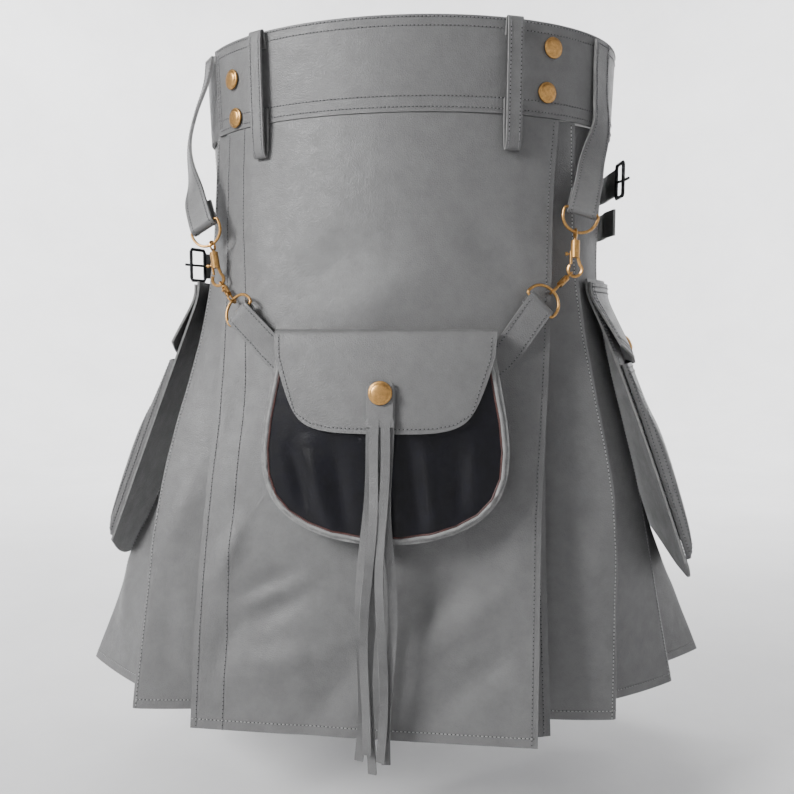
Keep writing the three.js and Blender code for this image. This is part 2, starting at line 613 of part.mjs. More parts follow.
// Sporran: a pouch on the front, whose panels share one outline
const SPORRAN = { x: -0.8, top: -229, depth: 23, slope: 0.11, backGap: 3.5 };
const SPORRAN_OUTLINE = [
  { down: 0, half: 90 }, { down: 20, half: 92.5 }, { down: 44, half: 97 }, { down: 70, half: 102 },
  { down: 95, half: 104.5 }, { down: 118, half: 103 }, { down: 137, half: 95.5 }, { down: 151, half: 82 },
  { down: 161, half: 64 }, { down: 168, half: 41 }, { down: 171.5, half: 18 },
];
const PIPING = 3;
const GUSSET = { top: 3, thick: 2.6, pinch: 0.985 };
const FLAP = {
  halfWidth: 93,
  side: 20,
  drop: 60,
  taper: 0.985,
  over: [
    { down: -2.6, out: 0.4, domed: false }, { down: -4.4, out: 7, domed: false },
    { down: -5, out: 13.8, domed: false }, { down: -3.2, out: 25.4, domed: true },
  ],
};
const SPORRAN_CENTRE = point(SPORRAN.x, -180, SPORRAN.top - 80);

function sporranPoint(u, down, out) {
  const bend = 7 * (u / 100) ** 2;
  const y = -(sectionAt(APRON_SECTIONS, 'depth', SPORRAN.top) + SPORRAN.backGap) - SPORRAN.slope * down + bend - out;
  return point(SPORRAN.x + u, y, SPORRAN.top - down);
}

const DOME = { rise: 5.5, halfWidth: 105, height: 178 };

function dome(u, down) {
  const upright = Math.sin(Math.PI * THREE.MathUtils.clamp(down / DOME.height, 0.04, 1));
  return DOME.rise * Math.max(0, 1 - (u / DOME.halfWidth) ** 2) * upright ** 0.6;
}

// The outline drawn in by a distance, square to its own edge
function insetOutline(inset) {
  return SPORRAN_OUTLINE.map(({ down, half }, i) => {
    const before = SPORRAN_OUTLINE[Math.max(i - 1, 0)];
    const after = SPORRAN_OUTLINE[Math.min(i + 1, SPORRAN_OUTLINE.length - 1)];
    const [over, fall] = [after.half - before.half, after.down - before.down];
    const length = Math.hypot(over, fall);
    return { down: down + (inset * over) / length, half: half - (inset * fall) / length };
  });
}

function outlineGrid(inset, columns, outAt) {
  return insetOutline(inset).map(({ down, half }) => steps(-1, 1, columns)
    .map((s) => sporranPoint(s * half, Math.max(down, 0), outAt(s * half, down))));
}

function makeSporran() {
  const frontOut = (u, down) => SPORRAN.depth + dome(u, down);
  addPiece('sporran_back', wall(outlineGrid(0, 9, () => LEATHER), LEATHER, SPORRAN_CENTRE.clone().setY(0)), GREY);
  const panel = outlineGrid(PIPING + 0.6, 11, (u, down) => frontOut(u, down) + 0.4);
  addPiece('sporran_front', wall(panel, LEATHER, SPORRAN_CENTRE.clone().setY(0)), BLACK);

  const sides = SPORRAN_OUTLINE.map(({ down, half }) => ({ half, down: Math.max(down, GUSSET.top) }));
  const rim = [
    ...sides.map(({ down, half }) => ({ u: -half, down })),
    ...[...sides].reverse().map(({ down, half }) => ({ u: half, down })),
  ];
  const depths = [LEATHER + LAYER_GAP, SPORRAN.depth * 0.5, SPORRAN.depth + 1];
  const gusset = depths.map((out, k) => rim.map(({ u, down }) => {
    const pinch = k === 1 ? GUSSET.pinch : 1;
    return sporranPoint(u * pinch, down * pinch, out);
  }));
  addPiece('sporran_gusset', wall(gusset, GUSSET.thick, SPORRAN_CENTRE), GREY);

  const flapEnd = (s) => FLAP.side + FLAP.drop * Math.sqrt(1 - Math.min(1, Math.abs(s) ** 5));
  const columns = steps(-1, 1, 13);
  const over = (s, u, down) => sporranPoint(u, down, frontOut(u, Math.max(down, 8)) + 2 * LEATHER + 1.1);
  const flap = [
    ...FLAP.over.map(({ down, out, domed }) => columns.map((s) => {
      const u = s * FLAP.halfWidth;
      return sporranPoint(u, down, out + (domed ? dome(u, 8) : 0));
    })),
    ...steps(0.1, 1, 6).map((share) => columns.map((s) => {
      const u = s * FLAP.halfWidth * lerp(1, FLAP.taper, share);
      return over(s, u, flapEnd(s) * share);
    })),
  ];
  addPiece('sporran_flap', wall(flap, LEATHER, SPORRAN_CENTRE), GREY);
  return over;
}

// Tassel: a short head with flat strips cut from it, in two layers
const TASSEL_HEAD = { width: 24, thick: 5.4, top: 38, foot: 74 };
const TASSEL_STRIPS = [
  { root: -8, foot: -19, end: 352, sway: 3, phase: 0.4, layer: 1 },
  { root: 0, foot: -9, end: 363, sway: -3.4, phase: 1.9, layer: 1 },
  { root: 8, foot: 8, end: 354, sway: 3.2, phase: 3.1, layer: 1 },
  { root: -4.4, foot: -13, end: 344, sway: -3, phase: 2.6, layer: -1 },
  { root: 4.4, foot: 1, end: 350, sway: 2.6, phase: 0.9, layer: -1 },
];
const STRIP = { width: 7.4, thick: 1.8, forward: 8.5 };

function makeTassel(over) {
  const centre = (down) => over(0, 0, down);
  const front = centre(TASSEL_HEAD.top);
  const lift = TASSEL_HEAD.thick / 2 + SEAM + 0.3;
  const headPath = steps(TASSEL_HEAD.top, TASSEL_HEAD.foot, 5).map((down) => centre(down).add(point(0, -lift, 0)));
  const head = strap(headPath, headPath.map(() => point(1, 0, 0)), TASSEL_HEAD.width, TASSEL_HEAD.thick);
  const strips = TASSEL_STRIPS.map(({ root, foot, end, sway, phase, layer }) => {
    const drop = steps(TASSEL_HEAD.foot - 6, end, 13);
    const path = drop.map((down, i) => {
      const share = i / (drop.length - 1);
      const swing = sway * Math.sin(phase + share * 8.5) * Math.min(1, share * 4);
      const away = Math.min(1, share * 4);
      const y = headPath.at(-1).y - STRIP.forward * away + layer * lerp(1.5, 2.4, away);
      return point(front.x + lerp(root, foot, share) + swing, y, SPORRAN.top - down);
    });
    const across = path.map((_, i) => point(1, 0.35 * Math.sin(phase + i * 0.8) * Math.min(1, i / 4), 0));
    return strap(path, across, STRIP.width, STRIP.thick);
  });
  addPiece('tassel', joined(head, ...strips), GREY);
  const facing = new THREE.Vector3().crossVectors(directions(headPath)[1], point(1, 0, 0)).normalize();
  if (facing.y > 0) facing.negate();
  const studAt = headPath[1].clone().addScaledVector(facing, TASSEL_HEAD.thick / 2 + SEAM + 0.2);
  addPiece('sporran_stud', stand(studShape(STUD.radius + 0.8, STUD.height), studAt, facing), BRASS);
}

// Sporran straps: from a fold round the ring's bar to the back of the pouch
function apronNormal(x, z) {
  const over = new THREE.Vector3().subVectors(apronPoint(x + 5, z), apronPoint(x - 5, z));
  const down = new THREE.Vector3().subVectors(apronPoint(x, z - 5), apronPoint(x, z + 5));
  return over.cross(down).normalize().multiplyScalar(-1);
}

function makeSporranStrap(name, chain, sign) {
  const { bar, along, across, face } = chain;
  const behind = -(STRAP_THICK / 2 + SEAM + 0.3);
  const end = sporranPoint(sign * 74, 36, behind);
  const edge = sporranPoint(sign * 97, 20, behind - 0.8);
  const start = bar.clone().addScaledVector(face, FOLD_RADIUS).addScaledVector(along, 2);
  const middle = start.clone().lerp(edge, 0.5);
  middle.y = Math.min(middle.y, apronPoint(THREE.MathUtils.clamp(middle.x, -160, 138), middle.z).y - 6);
  const run = smoothPath([start, middle, edge, end], 10);
  const loop = steps(-90, 90, 7).map((turn) => bar.clone()
    .addScaledVector(along, -FOLD_RADIUS * Math.cos(rad(turn)))
    .addScaledVector(face, FOLD_RADIUS * Math.sin(rad(turn))));
  const tuck = [1, 0.5].map((share) => bar.clone()
    .addScaledVector(along, SHORT_TUCK * share).addScaledVector(face, -FOLD_RADIUS + 0.3));
  const path = [...tuck, ...loop, ...run];
  const lead = path.length - run.length;
  const heading = directions(path);
  const widths = path.map((p, i) => {
    if (i < lead) return across;
    const share = (i - lead) / (run.length - 1);
    const level = apronNormal(THREE.MathUtils.clamp(p.x, -150, 130), p.z);
    const own = new THREE.Vector3().crossVectors(level, heading[i]).normalize();
    if (own.dot(across) < 0) own.negate();
    return across.clone().lerp(own, Math.min(1, share * 3)).normalize();
  });
  addPiece(`sporran_strap_${name}`, strap(path, widths, STRAP_WIDTH, STRAP_THICK), GREY);
}

// Cargo pockets: a panel that hangs from each hip, with a bellows pouch and a flap on it
const POCKET = {
  front: -76, back: 92, sewn: 14, length: 312, tip: 34, pouchTop: 84, pouchEnd: 276, margin: 6,
  flapEnd: 88, curveEnd: 420,
};
const POCKET_SIDES = {
  right: { sign: 1, top: -178, hold: 197.8, tilt: 17.5, curveTop: 115, middle: 0 },
  left: { sign: -1, top: -178, hold: 202.2, tilt: 21, curveTop: 230, middle: -25 },
};
const POUCH_SECTIONS = [
  { z: 0, depth: 5 }, { z: -50, depth: 8 }, { z: -66, depth: 12 }, { z: -130, depth: 13 }, { z: -175, depth: 10 },
];

function pocketPoint(side, s, down, out) {
  const below = Math.max(0, down - POCKET.sewn);
  const tilt = rad(side.tilt);
  const curve = lerp(side.curveTop, POCKET.curveEnd, Math.min(1, below / POCKET.length));
  const x = side.hold + below * Math.sin(tilt) + out * Math.cos(tilt) - (s - side.middle) ** 2 / (2 * curve);
  const z = side.top - (down - below) - below * Math.cos(tilt) + out * Math.sin(tilt) * Math.min(1, below / 20);
  return point(side.sign * x, s, z);
}

function makePocket(name) {
  const side = POCKET_SIDES[name];
  const inside = point(0, 8, side.top - 150);
  const tipShare = (s) => Math.abs((s - (POCKET.front + POCKET.back) / 2) / ((POCKET.back - POCKET.front) / 2));
  const lengthAt = (s) => POCKET.length - POCKET.tip * Math.max(0, tipShare(s) - 0.35) / 0.65;
  const columns = steps(POCKET.front, POCKET.back, 9);
  const downs = [0, POCKET.sewn, ...steps(40, POCKET.length, 8)];
  const panel = downs.map((down) => columns.map((s) => {
    const low = down <= POCKET.sewn ? down : (down / POCKET.length) * lengthAt(s);
    return pocketPoint(side, s, low, LEATHER);
  }));
  addPiece(`pocket_${name}_panel`, wall(panel, LEATHER, inside), GREY);

  const base = LEATHER + LAYER_GAP;
  const [first, last] = [POCKET.front + POCKET.margin, POCKET.back - POCKET.margin];
  const pouchDowns = [0, 25, 50, 66, 100, 150, 180, POCKET.pouchEnd - POCKET.pouchTop];
  const pouch = pouchDowns.map((below, i) => {
    const down = POCKET.pouchTop + below;
    const end = i === pouchDowns.length - 1;
    const rise = end ? 2 * LEATHER : sectionAt(POUCH_SECTIONS, 'depth', -below);
    const face = steps(first, last, 8).map((s) => pocketPoint(side, s, down, base + rise));
    const foot = (s) => pocketPoint(side, s, down, base);
    return [foot(first), ...face, foot(last)];
  });
  addPiece(`pocket_${name}_pouch`, wall(pouch, LEATHER, inside), GREY);

  const flapOut = (down) => base + LEATHER + lerp(0.4, 7, THREE.MathUtils.smoothstep(down, 16, POCKET.flapEnd - 8));
  const flapEndAt = (s) => POCKET.flapEnd - 22 * Math.max(0, tipShare(s) - 0.3) / 0.7;
  const flap = steps(0, 1, 8).map((share) => columns.map((s) => {
    const down = 3 + share * (flapEndAt(s) - 3);
    return pocketPoint(side, s, down, flapOut(down));
  }));
  addPiece(`pocket_${name}_flap`, wall(flap, LEATHER, inside), GREY);
  const studDown = POCKET.flapEnd - 20;
  const studFoot = pocketPoint(side, (POCKET.front + POCKET.back) / 2, studDown, flapOut(studDown) + 0.9);
  const tilt = rad(side.tilt + 5);
  const facing = point(side.sign * Math.cos(tilt), 0, Math.sin(tilt));
  addPiece(`pocket_${name}_stud`, stand(studShape(STUD.radius, STUD.height), studFoot, facing), BRASS);
}

// Hip straps, sewn to the pleats behind the hips, and the buckles they close with
const HIP_STRAPS = [
  { name: 'right_upper', from: 80, to: 118, z: -84, out: 3.2, lift: 7, buckle: true },
  { name: 'right_lower', from: 78, to: 112, z: -122, out: 0.3, lift: 10, buckle: false },
  { name: 'left', from: -80, to: -118, z: -160, out: 0.7, lift: 11, buckle: true },
];
const HIPS = { halfWidth: 198.2, halfDepth: 144 };
const HIP_LIFT = [1, 0.4, 0];
const BUCKLE = {
  width: 31, length: 22, wire: 1.7, prongWire: 1.3,
  prong: [{ at: -1, rise: 0 }, { at: 0.1, rise: 3.4 }, { at: 1.3, rise: 4.2 }],
};

function hipPoint(angle, out, z) {
  const a = rad(angle);
  const normal = point(Math.sin(a) / HIPS.halfWidth, -Math.cos(a) / HIPS.halfDepth, 0).normalize();
  return point(HIPS.halfWidth * Math.sin(a), -HIPS.halfDepth * Math.cos(a), z).addScaledVector(normal, out);
}

function makeHipStrap({ name, from, to, z, out, lift, buckle }) {
  const path = steps(from, to, 9).map((angle, i) => hipPoint(angle, out + lift * HIP_LIFT[Math.min(i, 2)], z));
  addPiece(`hip_strap_${name}`, strap(path, path.map(() => point(0, 0, 1)), STRAP_WIDTH, STRAP_THICK), GREY);
  if (!buckle) return;
  const sign = Math.sign(from);
  const start = path[0];
  const along = new THREE.Vector3().subVectors(path[0], path[1]).normalize();
  const outward = point(sign, 0, 0).addScaledVector(along, -along.x * sign).normalize();
  const centre = start.clone().addScaledVector(along, BUCKLE.length / 2 + 2.4);
  const corner = (a, w) => centre.clone()
    .addScaledVector(along, (a * BUCKLE.length) / 2).add(point(0, 0, (w * BUCKLE.width) / 2));
  const loop = [[-1, -0.86], [-0.86, -1], [0.86, -1], [1, -0.86], [1, 0.86], [0.86, 1], [-0.86, 1], [-1, 0.86]];
  const frame = wire(loop.map(([a, w]) => corner(a, w)), BUCKLE.wire, outward, true);
  const prongPath = BUCKLE.prong.map(({ at, rise }) => corner(at, 0).addScaledVector(outward, rise));
  const prong = wire(prongPath, BUCKLE.prongWire, point(0, 0, 1));
  addPiece(`hip_buckle_${name}`, joined(frame, prong), BLACK_METAL);
}

makeWaistband();
makeAprons();
makePleats('right', 1, RIGHT_START, RIGHT_FOLDS);
makePleats('left', -1, LEFT_START, LEFT_FOLDS);
makeBackPanel();
makeBeltLoop('belt_loop_front_left', -36.2);
makeBeltLoop('belt_loop_front_right', 30.3);
makeBeltLoop('belt_loop_back_right', 148);
makeBeltLoop('belt_loop_back_left', -148);
makeWaistStuds();
const rightChain = makeChain('right');
const leftChain = makeChain('left');
const overFlap = makeSporran();
makeTassel(overFlap);
makeSporranStrap('right', rightChain, 1);
makeSporranStrap('left', leftChain, -1);
makePocket('right');
makePocket('left');
HIP_STRAPS.forEach(makeHipStrap);

export default kilt;
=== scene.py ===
"""A pleated leather utility kilt: leather, stitching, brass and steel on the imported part."""
import json
import math

import bmesh
import bpy
import numpy as np
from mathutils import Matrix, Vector, noise
from mathutils.bvhtree import BVHTree


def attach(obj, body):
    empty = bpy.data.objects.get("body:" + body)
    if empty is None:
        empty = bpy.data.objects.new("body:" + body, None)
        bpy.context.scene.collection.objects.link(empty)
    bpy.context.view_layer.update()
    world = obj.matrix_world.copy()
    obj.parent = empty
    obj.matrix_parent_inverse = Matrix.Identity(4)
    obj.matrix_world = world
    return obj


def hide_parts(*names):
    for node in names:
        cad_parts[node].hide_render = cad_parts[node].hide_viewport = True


bl_info = {
    "name": "Leather kilt",
    "version": (1, 0, 0),
    "blender": (4, 5, 0),
    "location": "View3D > Sidebar > Kilt",
    "description": "Builds the leather, stitching and hardware of a pleated kilt",
    "category": "Object",
}

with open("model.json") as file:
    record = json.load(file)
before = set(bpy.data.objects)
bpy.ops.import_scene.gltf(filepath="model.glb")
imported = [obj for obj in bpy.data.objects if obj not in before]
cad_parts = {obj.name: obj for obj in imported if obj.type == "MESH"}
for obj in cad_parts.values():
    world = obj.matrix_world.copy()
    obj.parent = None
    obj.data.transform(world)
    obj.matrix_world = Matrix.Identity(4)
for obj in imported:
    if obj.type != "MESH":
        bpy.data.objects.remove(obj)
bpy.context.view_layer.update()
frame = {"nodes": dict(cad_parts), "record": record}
BODY_OF = {node: body for body, nodes in frame["record"]["behaviour"]["bodies"].items() for node in nodes}
SLOT_OF = {part["node"]: part["material_slot"] for part in frame["record"]["subparts"]}

MM = 0.001
BAND_BOTTOM = -39.5 * MM
HEM = -570.5 * MM
WAIST_HALF_WIDTH = 202 * MM
WAIST_HALF_DEPTH = 140 * MM
HEM_WIDER = 115 * MM
HEM_DEEPER = 55 * MM
SIDES = ("right", "left")

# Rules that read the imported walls: how far two vertices may stand apart and still be one, the flattest
# and most skewed pair of triangles that is joined, the bend that ends a face of a wall, and the widest
# strip, in wall thicknesses, that counts as a cut edge
WELD = 0.01 * MM
JOIN_ANGLE = math.radians(45)
JOIN_SKEW = math.radians(170)
BEND = math.radians(50)
RIM_SHARE = 1.45
SHADE_ANGLE = math.radians(48)

# The skirt's slight waviness: its height, and where below the band it starts and is full
WAVE_HEIGHT = 1.4 * MM
WAVES_ROUND = 9
WAVES_DOWN = 6
FREE_BELOW_BAND = 20 * MM
FREE_OVER = 120 * MM

# Each sheet of leather: its cut width and length, its flat area, how it is held, and its fineness
SHEETS = {
    "waistband_front": {"flat": (0.485, 0.079), "held": "stretched", "levels": 2},
    "waistband_back": {"flat": (1.000, 0.079), "held": "stretched", "levels": 2},
    "front_apron": {"flat": (0.345, 0.545), "area": 0.1660, "held": "hung", "levels": 3},
    "under_apron": {"flat": (0.315, 0.545), "area": 0.1500, "held": "hung", "levels": 2},
    "pleat_right_1": {"flat": (0.119, 0.555), "area": 0.0475, "held": "folded", "levels": 3},
    "pleat_right_2": {"flat": (0.136, 0.555), "area": 0.0487, "held": "folded", "levels": 3},
    "pleat_right_3": {"flat": (0.118, 0.555), "area": 0.0443, "held": "folded", "levels": 3},
    "pleat_right_4": {"flat": (0.108, 0.555), "area": 0.0429, "held": "folded", "levels": 3},
    "pleat_right_5": {"flat": (0.111, 0.555), "area": 0.0445, "held": "folded", "levels": 3},
    "pleat_right_6": {"flat": (0.111, 0.555), "area": 0.0442, "held": "folded", "levels": 3},
    "pleat_left_1": {"flat": (0.120, 0.555), "area": 0.0458, "held": "folded", "levels": 3},
    "pleat_left_2": {"flat": (0.166, 0.555), "area": 0.0529, "held": "folded", "levels": 3},
    "pleat_left_3": {"flat": (0.125, 0.555), "area": 0.0449, "held": "folded", "levels": 3},
    "pleat_left_4": {"flat": (0.110, 0.555), "area": 0.0418, "held": "folded", "levels": 3},
    "pleat_left_5": {"flat": (0.106, 0.555), "area": 0.0423, "held": "folded", "levels": 3},
    "pleat_left_6": {"flat": (0.110, 0.555), "area": 0.0419, "held": "folded", "levels": 3},
    "back_panel": {"flat": (0.290, 0.555), "area": 0.1213, "held": "folded", "levels": 3},
    "belt_loop_front_left": {"flat": (0.014, 0.197), "held": "folded", "levels": 3},
    "belt_loop_front_right": {"flat": (0.014, 0.197), "held": "folded", "levels": 3},
    "belt_loop_back_right": {"flat": (0.014, 0.197), "held": "folded", "levels": 3},
    "belt_loop_back_left": {"flat": (0.014, 0.197), "held": "folded", "levels": 3},
    "hang_strap_right": {"flat": (0.025, 0.215), "held": "folded", "levels": 3},
    "hang_strap_left": {"flat": (0.025, 0.228), "held": "folded", "levels": 3},
    "sporran_back": {"flat": (0.209, 0.172), "area": 0.0329, "held": "stretched", "levels": 2},
    "sporran_front": {"flat": (0.202, 0.169), "area": 0.0311, "held": "stretched", "levels": 3},
    "sporran_gusset": {"flat": (0.026, 0.450), "held": "folded", "levels": 3},
    "sporran_flap": {"flat": (0.186, 0.125), "area": 0.0193, "held": "folded", "levels": 3},
    "tassel": {"flat": (0.040, 0.330), "held": "hung", "levels": 1},
    "sporran_strap_right": {"flat": (0.025, 0.122), "held": "folded", "levels": 3},
    "sporran_strap_left": {"flat": (0.025, 0.124), "held": "folded", "levels": 3},
    "pocket_right_panel": {"flat": (0.170, 0.315), "area": 0.0529, "held": "hung", "levels": 3},
    "pocket_right_pouch": {"flat": (0.190, 0.195), "area": 0.0348, "held": "folded", "levels": 3},
    "pocket_right_flap": {"flat": (0.169, 0.090), "area": 0.0143, "held": "hung", "levels": 3},
    "pocket_left_panel": {"flat": (0.170, 0.315), "area": 0.0529, "held": "hung", "levels": 3},
    "pocket_left_pouch": {"flat": (0.190, 0.195), "area": 0.0347, "held": "folded", "levels": 3},
    "pocket_left_flap": {"flat": (0.169, 0.090), "area": 0.0143, "held": "hung", "levels": 3},
    "hip_strap_right_upper": {"flat": (0.025, 0.103), "held": "stretched", "levels": 3},
    "hip_strap_right_lower": {"flat": (0.025, 0.090), "held": "stretched", "levels": 3},
    "hip_strap_left": {"flat": (0.025, 0.096), "held": "stretched", "levels": 3},
}

# Creases round the skirt: where each starts and ends, in degrees round from the front and mm of height,
# how wide it is, and how far it stands out (+) or in (-), in mm
SIDE_CREASES = [
    {"from": (52, -250), "to": (56, -330), "wide": 14, "out": -2.5},
    {"from": (50, -330), "to": (58, -420), "wide": 16, "out": -3.5},
    {"from": (58, -380), "to": (50, -450), "wide": 12, "out": 2.5},
    {"from": (56, -440), "to": (60, -540), "wide": 16, "out": -3.0},
    {"from": (74, -300), "to": (80, -460), "wide": 18, "out": 3.0},
    {"from": (86, -420), "to": (92, -550), "wide": 18, "out": -3.5},
    {"from": (104, -260), "to": (98, -470), "wide": 20, "out": -4.0},
    {"from": (128, -300), "to": (134, -530), "wide": 20, "out": 3.5},
    {"from": (150, -220), "to": (146, -400), "wide": 18, "out": -3.0},
    {"from": (158, -420), "to": (164, -550), "wide": 16, "out": 3.0},
    {"from": (172, -300), "to": (178, -520), "wide": 24, "out": -4.0},
    {"from": (187, -340), "to": (184, -540), "wide": 20, "out": 3.5},
    {"from": (208, -240), "to": (214, -440), "wide": 18, "out": -3.0},
    {"from": (232, -300), "to": (228, -520), "wide": 20, "out": 3.5},
    {"from": (256, -260), "to": (262, -500), "wide": 20, "out": -4.0},
    {"from": (276, -400), "to": (284, -520), "wide": 14, "out": 3.5},
    {"from": (282, -430), "to": (292, -480), "wide": 12, "out": -3.0},
    {"from": (302, -240), "to": (306, -330), "wide": 16, "out": -2.5},
    {"from": (304, -360), "to": (300, -450), "wide": 16, "out": 3.0},
    {"from": (300, -450), "to": (306, -550), "wide": 16, "out": -3.5},
]

# Creases of the aprons, the same way but from one side to the other in mm from the middle
FRONT_CREASES = [
    {"from": (-150, -445), "to": (-130, -395), "wide": 9, "out": 2.4},
    {"from": (-128, -456), "to": (-78, -434), "wide": 9, "out": -2.4},
    {"from": (-122, -478), "to": (-66, -450), "wide": 10, "out": -2.6},
    {"from": (-126, -465), "to": (-70, -441), "wide": 7, "out": 1.6},
    {"from": (-120, -514), "to": (-60, -503), "wide": 13, "out": 2.8},
    {"from": (-150, -520), "to": (-128, -470), "wide": 12, "out": -2.0},
    {"from": (-64, -560), "to": (-20, -500), "wide": 16, "out": -2.4},
    {"from": (10, -470), "to": (72, -430), "wide": 12, "out": -2.4},
    {"from": (22, -500), "to": (96, -452), "wide": 12, "out": 2.2},
    {"from": (40, -545), "to": (112, -490), "wide": 14, "out": -2.4},
    {"from": (108, -430), "to": (118, -300), "wide": 14, "out": 2.0},
    {"from": (-150, -330), "to": (-120, -250), "wide": 14, "out": -1.6},
    {"from": (-90, -190), "to": (-20, -150), "wide": 22, "out": -1.5},
    {"from": (-40, -215), "to": (50, -165), "wide": 20, "out": 1.5},
    {"from": (60, -120), "to": (112, -190), "wide": 18, "out": -1.6},
    {"from": (-130, -120), "to": (-100, -220), "wide": 18, "out": 1.4},
]

# Creases of the pouch's soft front, the same way
POUCH_CREASES = [
    {"from": (-78, -325), "to": (-62, -375), "wide": 7, "out": -1.8},
    {"from": (-64, -320), "to": (-44, -388), "wide": 8, "out": 1.6},
    {"from": (-40, -322), "to": (-30, -392), "wide": 7, "out": -1.6},
    {"from": (22, -318), "to": (30, -396), "wide": 7, "out": -1.8},
    {"from": (36, -320), "to": (44, -388), "wide": 7, "out": 1.5},
    {"from": (60, -316), "to": (62, -380), "wide": 8, "out": -2.0},
    {"from": (78, -312), "to": (76, -366), "wide": 7, "out": 1.4},
]


def linear(code):
    """Turns an sRGB hex colour into linear red, green, blue and alpha."""
    parts = [int(code[i:i + 2], 16) / 255 for i in (1, 3, 5)]
    return (*[p / 12.92 if p <= 0.04045 else ((p + 0.055) / 1.055) ** 2.4 for p in parts], 1.0)


def add_node(tree, kind, inputs=None, **settings):
    """Adds a node with its own settings. Each input is a value or a socket to link."""
    made = tree.nodes.new(kind)
    for name, value in settings.items():
        setattr(made, name, value)
    for name, value in (inputs or {}).items():
        if isinstance(value, bpy.types.NodeSocket):
            tree.links.new(value, made.inputs[name])
        else:
            made.inputs[name].default_value = value
    return made


def new_material(name):
    """An empty node material, with its output."""
    made = bpy.data.materials.new(name)
    made.use_nodes = True
    made.node_tree.nodes.clear()
    return made, made.node_tree


# Every surface's shades drift over this part of the noise, and its roughness by this much either way
DRIFT = {"From Min": 0.34, "From Max": 0.66}
ROUGHNESS_DRIFT = 0.06
# The leather's dents: their depth as a share of their width
DENT_SHARE = 0.03


def surface(name, dark, light, rough, mottle_mm, grain_mm=0.0, grain_height_mm=0.0, soft_mm=0.0, **shader):
    """A material whose colour drifts between two shades, with an optional fine grain over soft dents."""
    made, tree = new_material(name)
    place = add_node(tree, "ShaderNodeTexCoord").outputs["Object"]
    drift = add_node(tree, "ShaderNodeTexNoise", {
        "Vector": place, "Scale": 1 / (mottle_mm * MM), "Detail": 6.0, "Roughness": 0.72})
    tone = add_node(tree, "ShaderNodeMapRange", {
        "Value": drift.outputs["Fac"], **DRIFT})
    mix = add_node(tree, "ShaderNodeMix", {
        "Factor": tone.outputs["Result"]}, data_type="RGBA")
    mix.inputs[6].default_value = linear(dark)
    mix.inputs[7].default_value = linear(light)
    roughness = add_node(tree, "ShaderNodeMapRange", {
        "Value": drift.outputs["Fac"], "From Min": 0.3, "From Max": 0.7,
        "To Min": rough + ROUGHNESS_DRIFT, "To Max": rough - ROUGHNESS_DRIFT})
    inputs = {"Base Color": mix.outputs[2], "Roughness": roughness.outputs["Result"], **shader}
    if grain_mm:
        cells = add_node(tree, "ShaderNodeTexVoronoi", {
            "Vector": place, "Scale": 1 / (grain_mm * MM)}, feature="DISTANCE_TO_EDGE")
        edge = add_node(tree, "ShaderNodeMapRange", {
            "Value": cells.outputs["Distance"], "From Max": 0.25})
        bump = add_node(tree, "ShaderNodeBump", {
            "Height": edge.outputs["Result"], "Distance": grain_height_mm * MM, "Strength": 0.6})
        if soft_mm:
            dents = add_node(tree, "ShaderNodeTexNoise", {
                "Vector": place, "Scale": 1 / (soft_mm * MM), "Detail": 3.0, "Roughness": 0.55,
                "Distortion": 0.6})
            soft = add_node(tree, "ShaderNodeBump", {
                "Height": dents.outputs["Fac"], "Distance": soft_mm * DENT_SHARE * MM, "Strength": 0.7})
            tree.links.new(soft.outputs["Normal"], bump.inputs["Normal"])
        inputs["Normal"] = bump.outputs["Normal"]
    shaded = add_node(tree, "ShaderNodeBsdfPrincipled", inputs)
    add_node(tree, "ShaderNodeOutputMaterial", {"Surface": shaded.outputs["BSDF"]})
    return made


MATERIALS = {}


def material(kind):
    """The shared material of a kind, made from the colours in the sidebar when first asked for."""
    if kind in MATERIALS:
        return MATERIALS[kind]
    colours = bpy.context.scene.kilt_colours
    made = {
        "leather": lambda: surface(
            "grained grey leather", colours.leather_dark, colours.leather_light, 0.45, 15,
            grain_mm=1.8, grain_height_mm=0.2, soft_mm=26, **{"Specular IOR Level": 0.4}),
        "cut_edge": lambda: surface(
            "cut leather edge", colours.edge, colours.leather_light, 0.80, 6),
        "piping": lambda: surface(
            "pale grey leather", colours.edge, colours.leather_light, 0.55, 12,
            grain_mm=1.2, grain_height_mm=0.08),
        "black_leather": lambda: surface(
            "satin black leather", colours.black_dark, colours.black_light, 0.36, 14,
            grain_mm=2.6, grain_height_mm=0.05, soft_mm=24, **{"Specular IOR Level": 0.22}),
        "brass": lambda: surface(
            "antique brass", colours.brass_dark, colours.brass_light, 0.36, 2.5, **{"Metallic": 1.0}),
        "black_metal": lambda: surface(
            "blackened steel", colours.steel_dark, colours.steel_light, 0.42, 6, **{"Metallic": 1.0}),
        "thread": lambda: surface("waxed thread", colours.thread, colours.leather_light, 0.6, 3),
        "pale_thread": lambda: surface("pale waxed thread", colours.pale_thread, colours.edge, 0.6, 3),
        # The discs at the stitches' punctures are painted shade: the pouch's and the buckles' darkest
        # shades, standing in for the shadow inside each puncture
        "hole_shade": lambda: surface("painted hole shade", colours.black_dark, colours.steel_dark, 0.9, 3),
        "bound_edge": lambda: surface("red-brown edge paint", colours.trim_dark, colours.trim_light, 0.5, 8),
        "floor": lambda: surface("pale studio paper", colours.floor_dark, colours.floor, 0.9, 400),
    }[kind]()
    MATERIALS[kind] = made
    return made


SLOT_KINDS = {"grey_leather": "leather", "black_leather": "black_leather",
              "antique_brass": "brass", "black_metal": "black_metal"}


def new_object(name, mesh):
    """An object with this mesh in the scene."""
    made = bpy.data.objects.new(name, mesh)
    bpy.context.collection.objects.link(made)
    return made


def stand_for(obj, node):
    """The object takes the place of a node, on its body, and the node is hidden."""
    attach(obj, BODY_OF[node])
    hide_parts(node)
    return obj


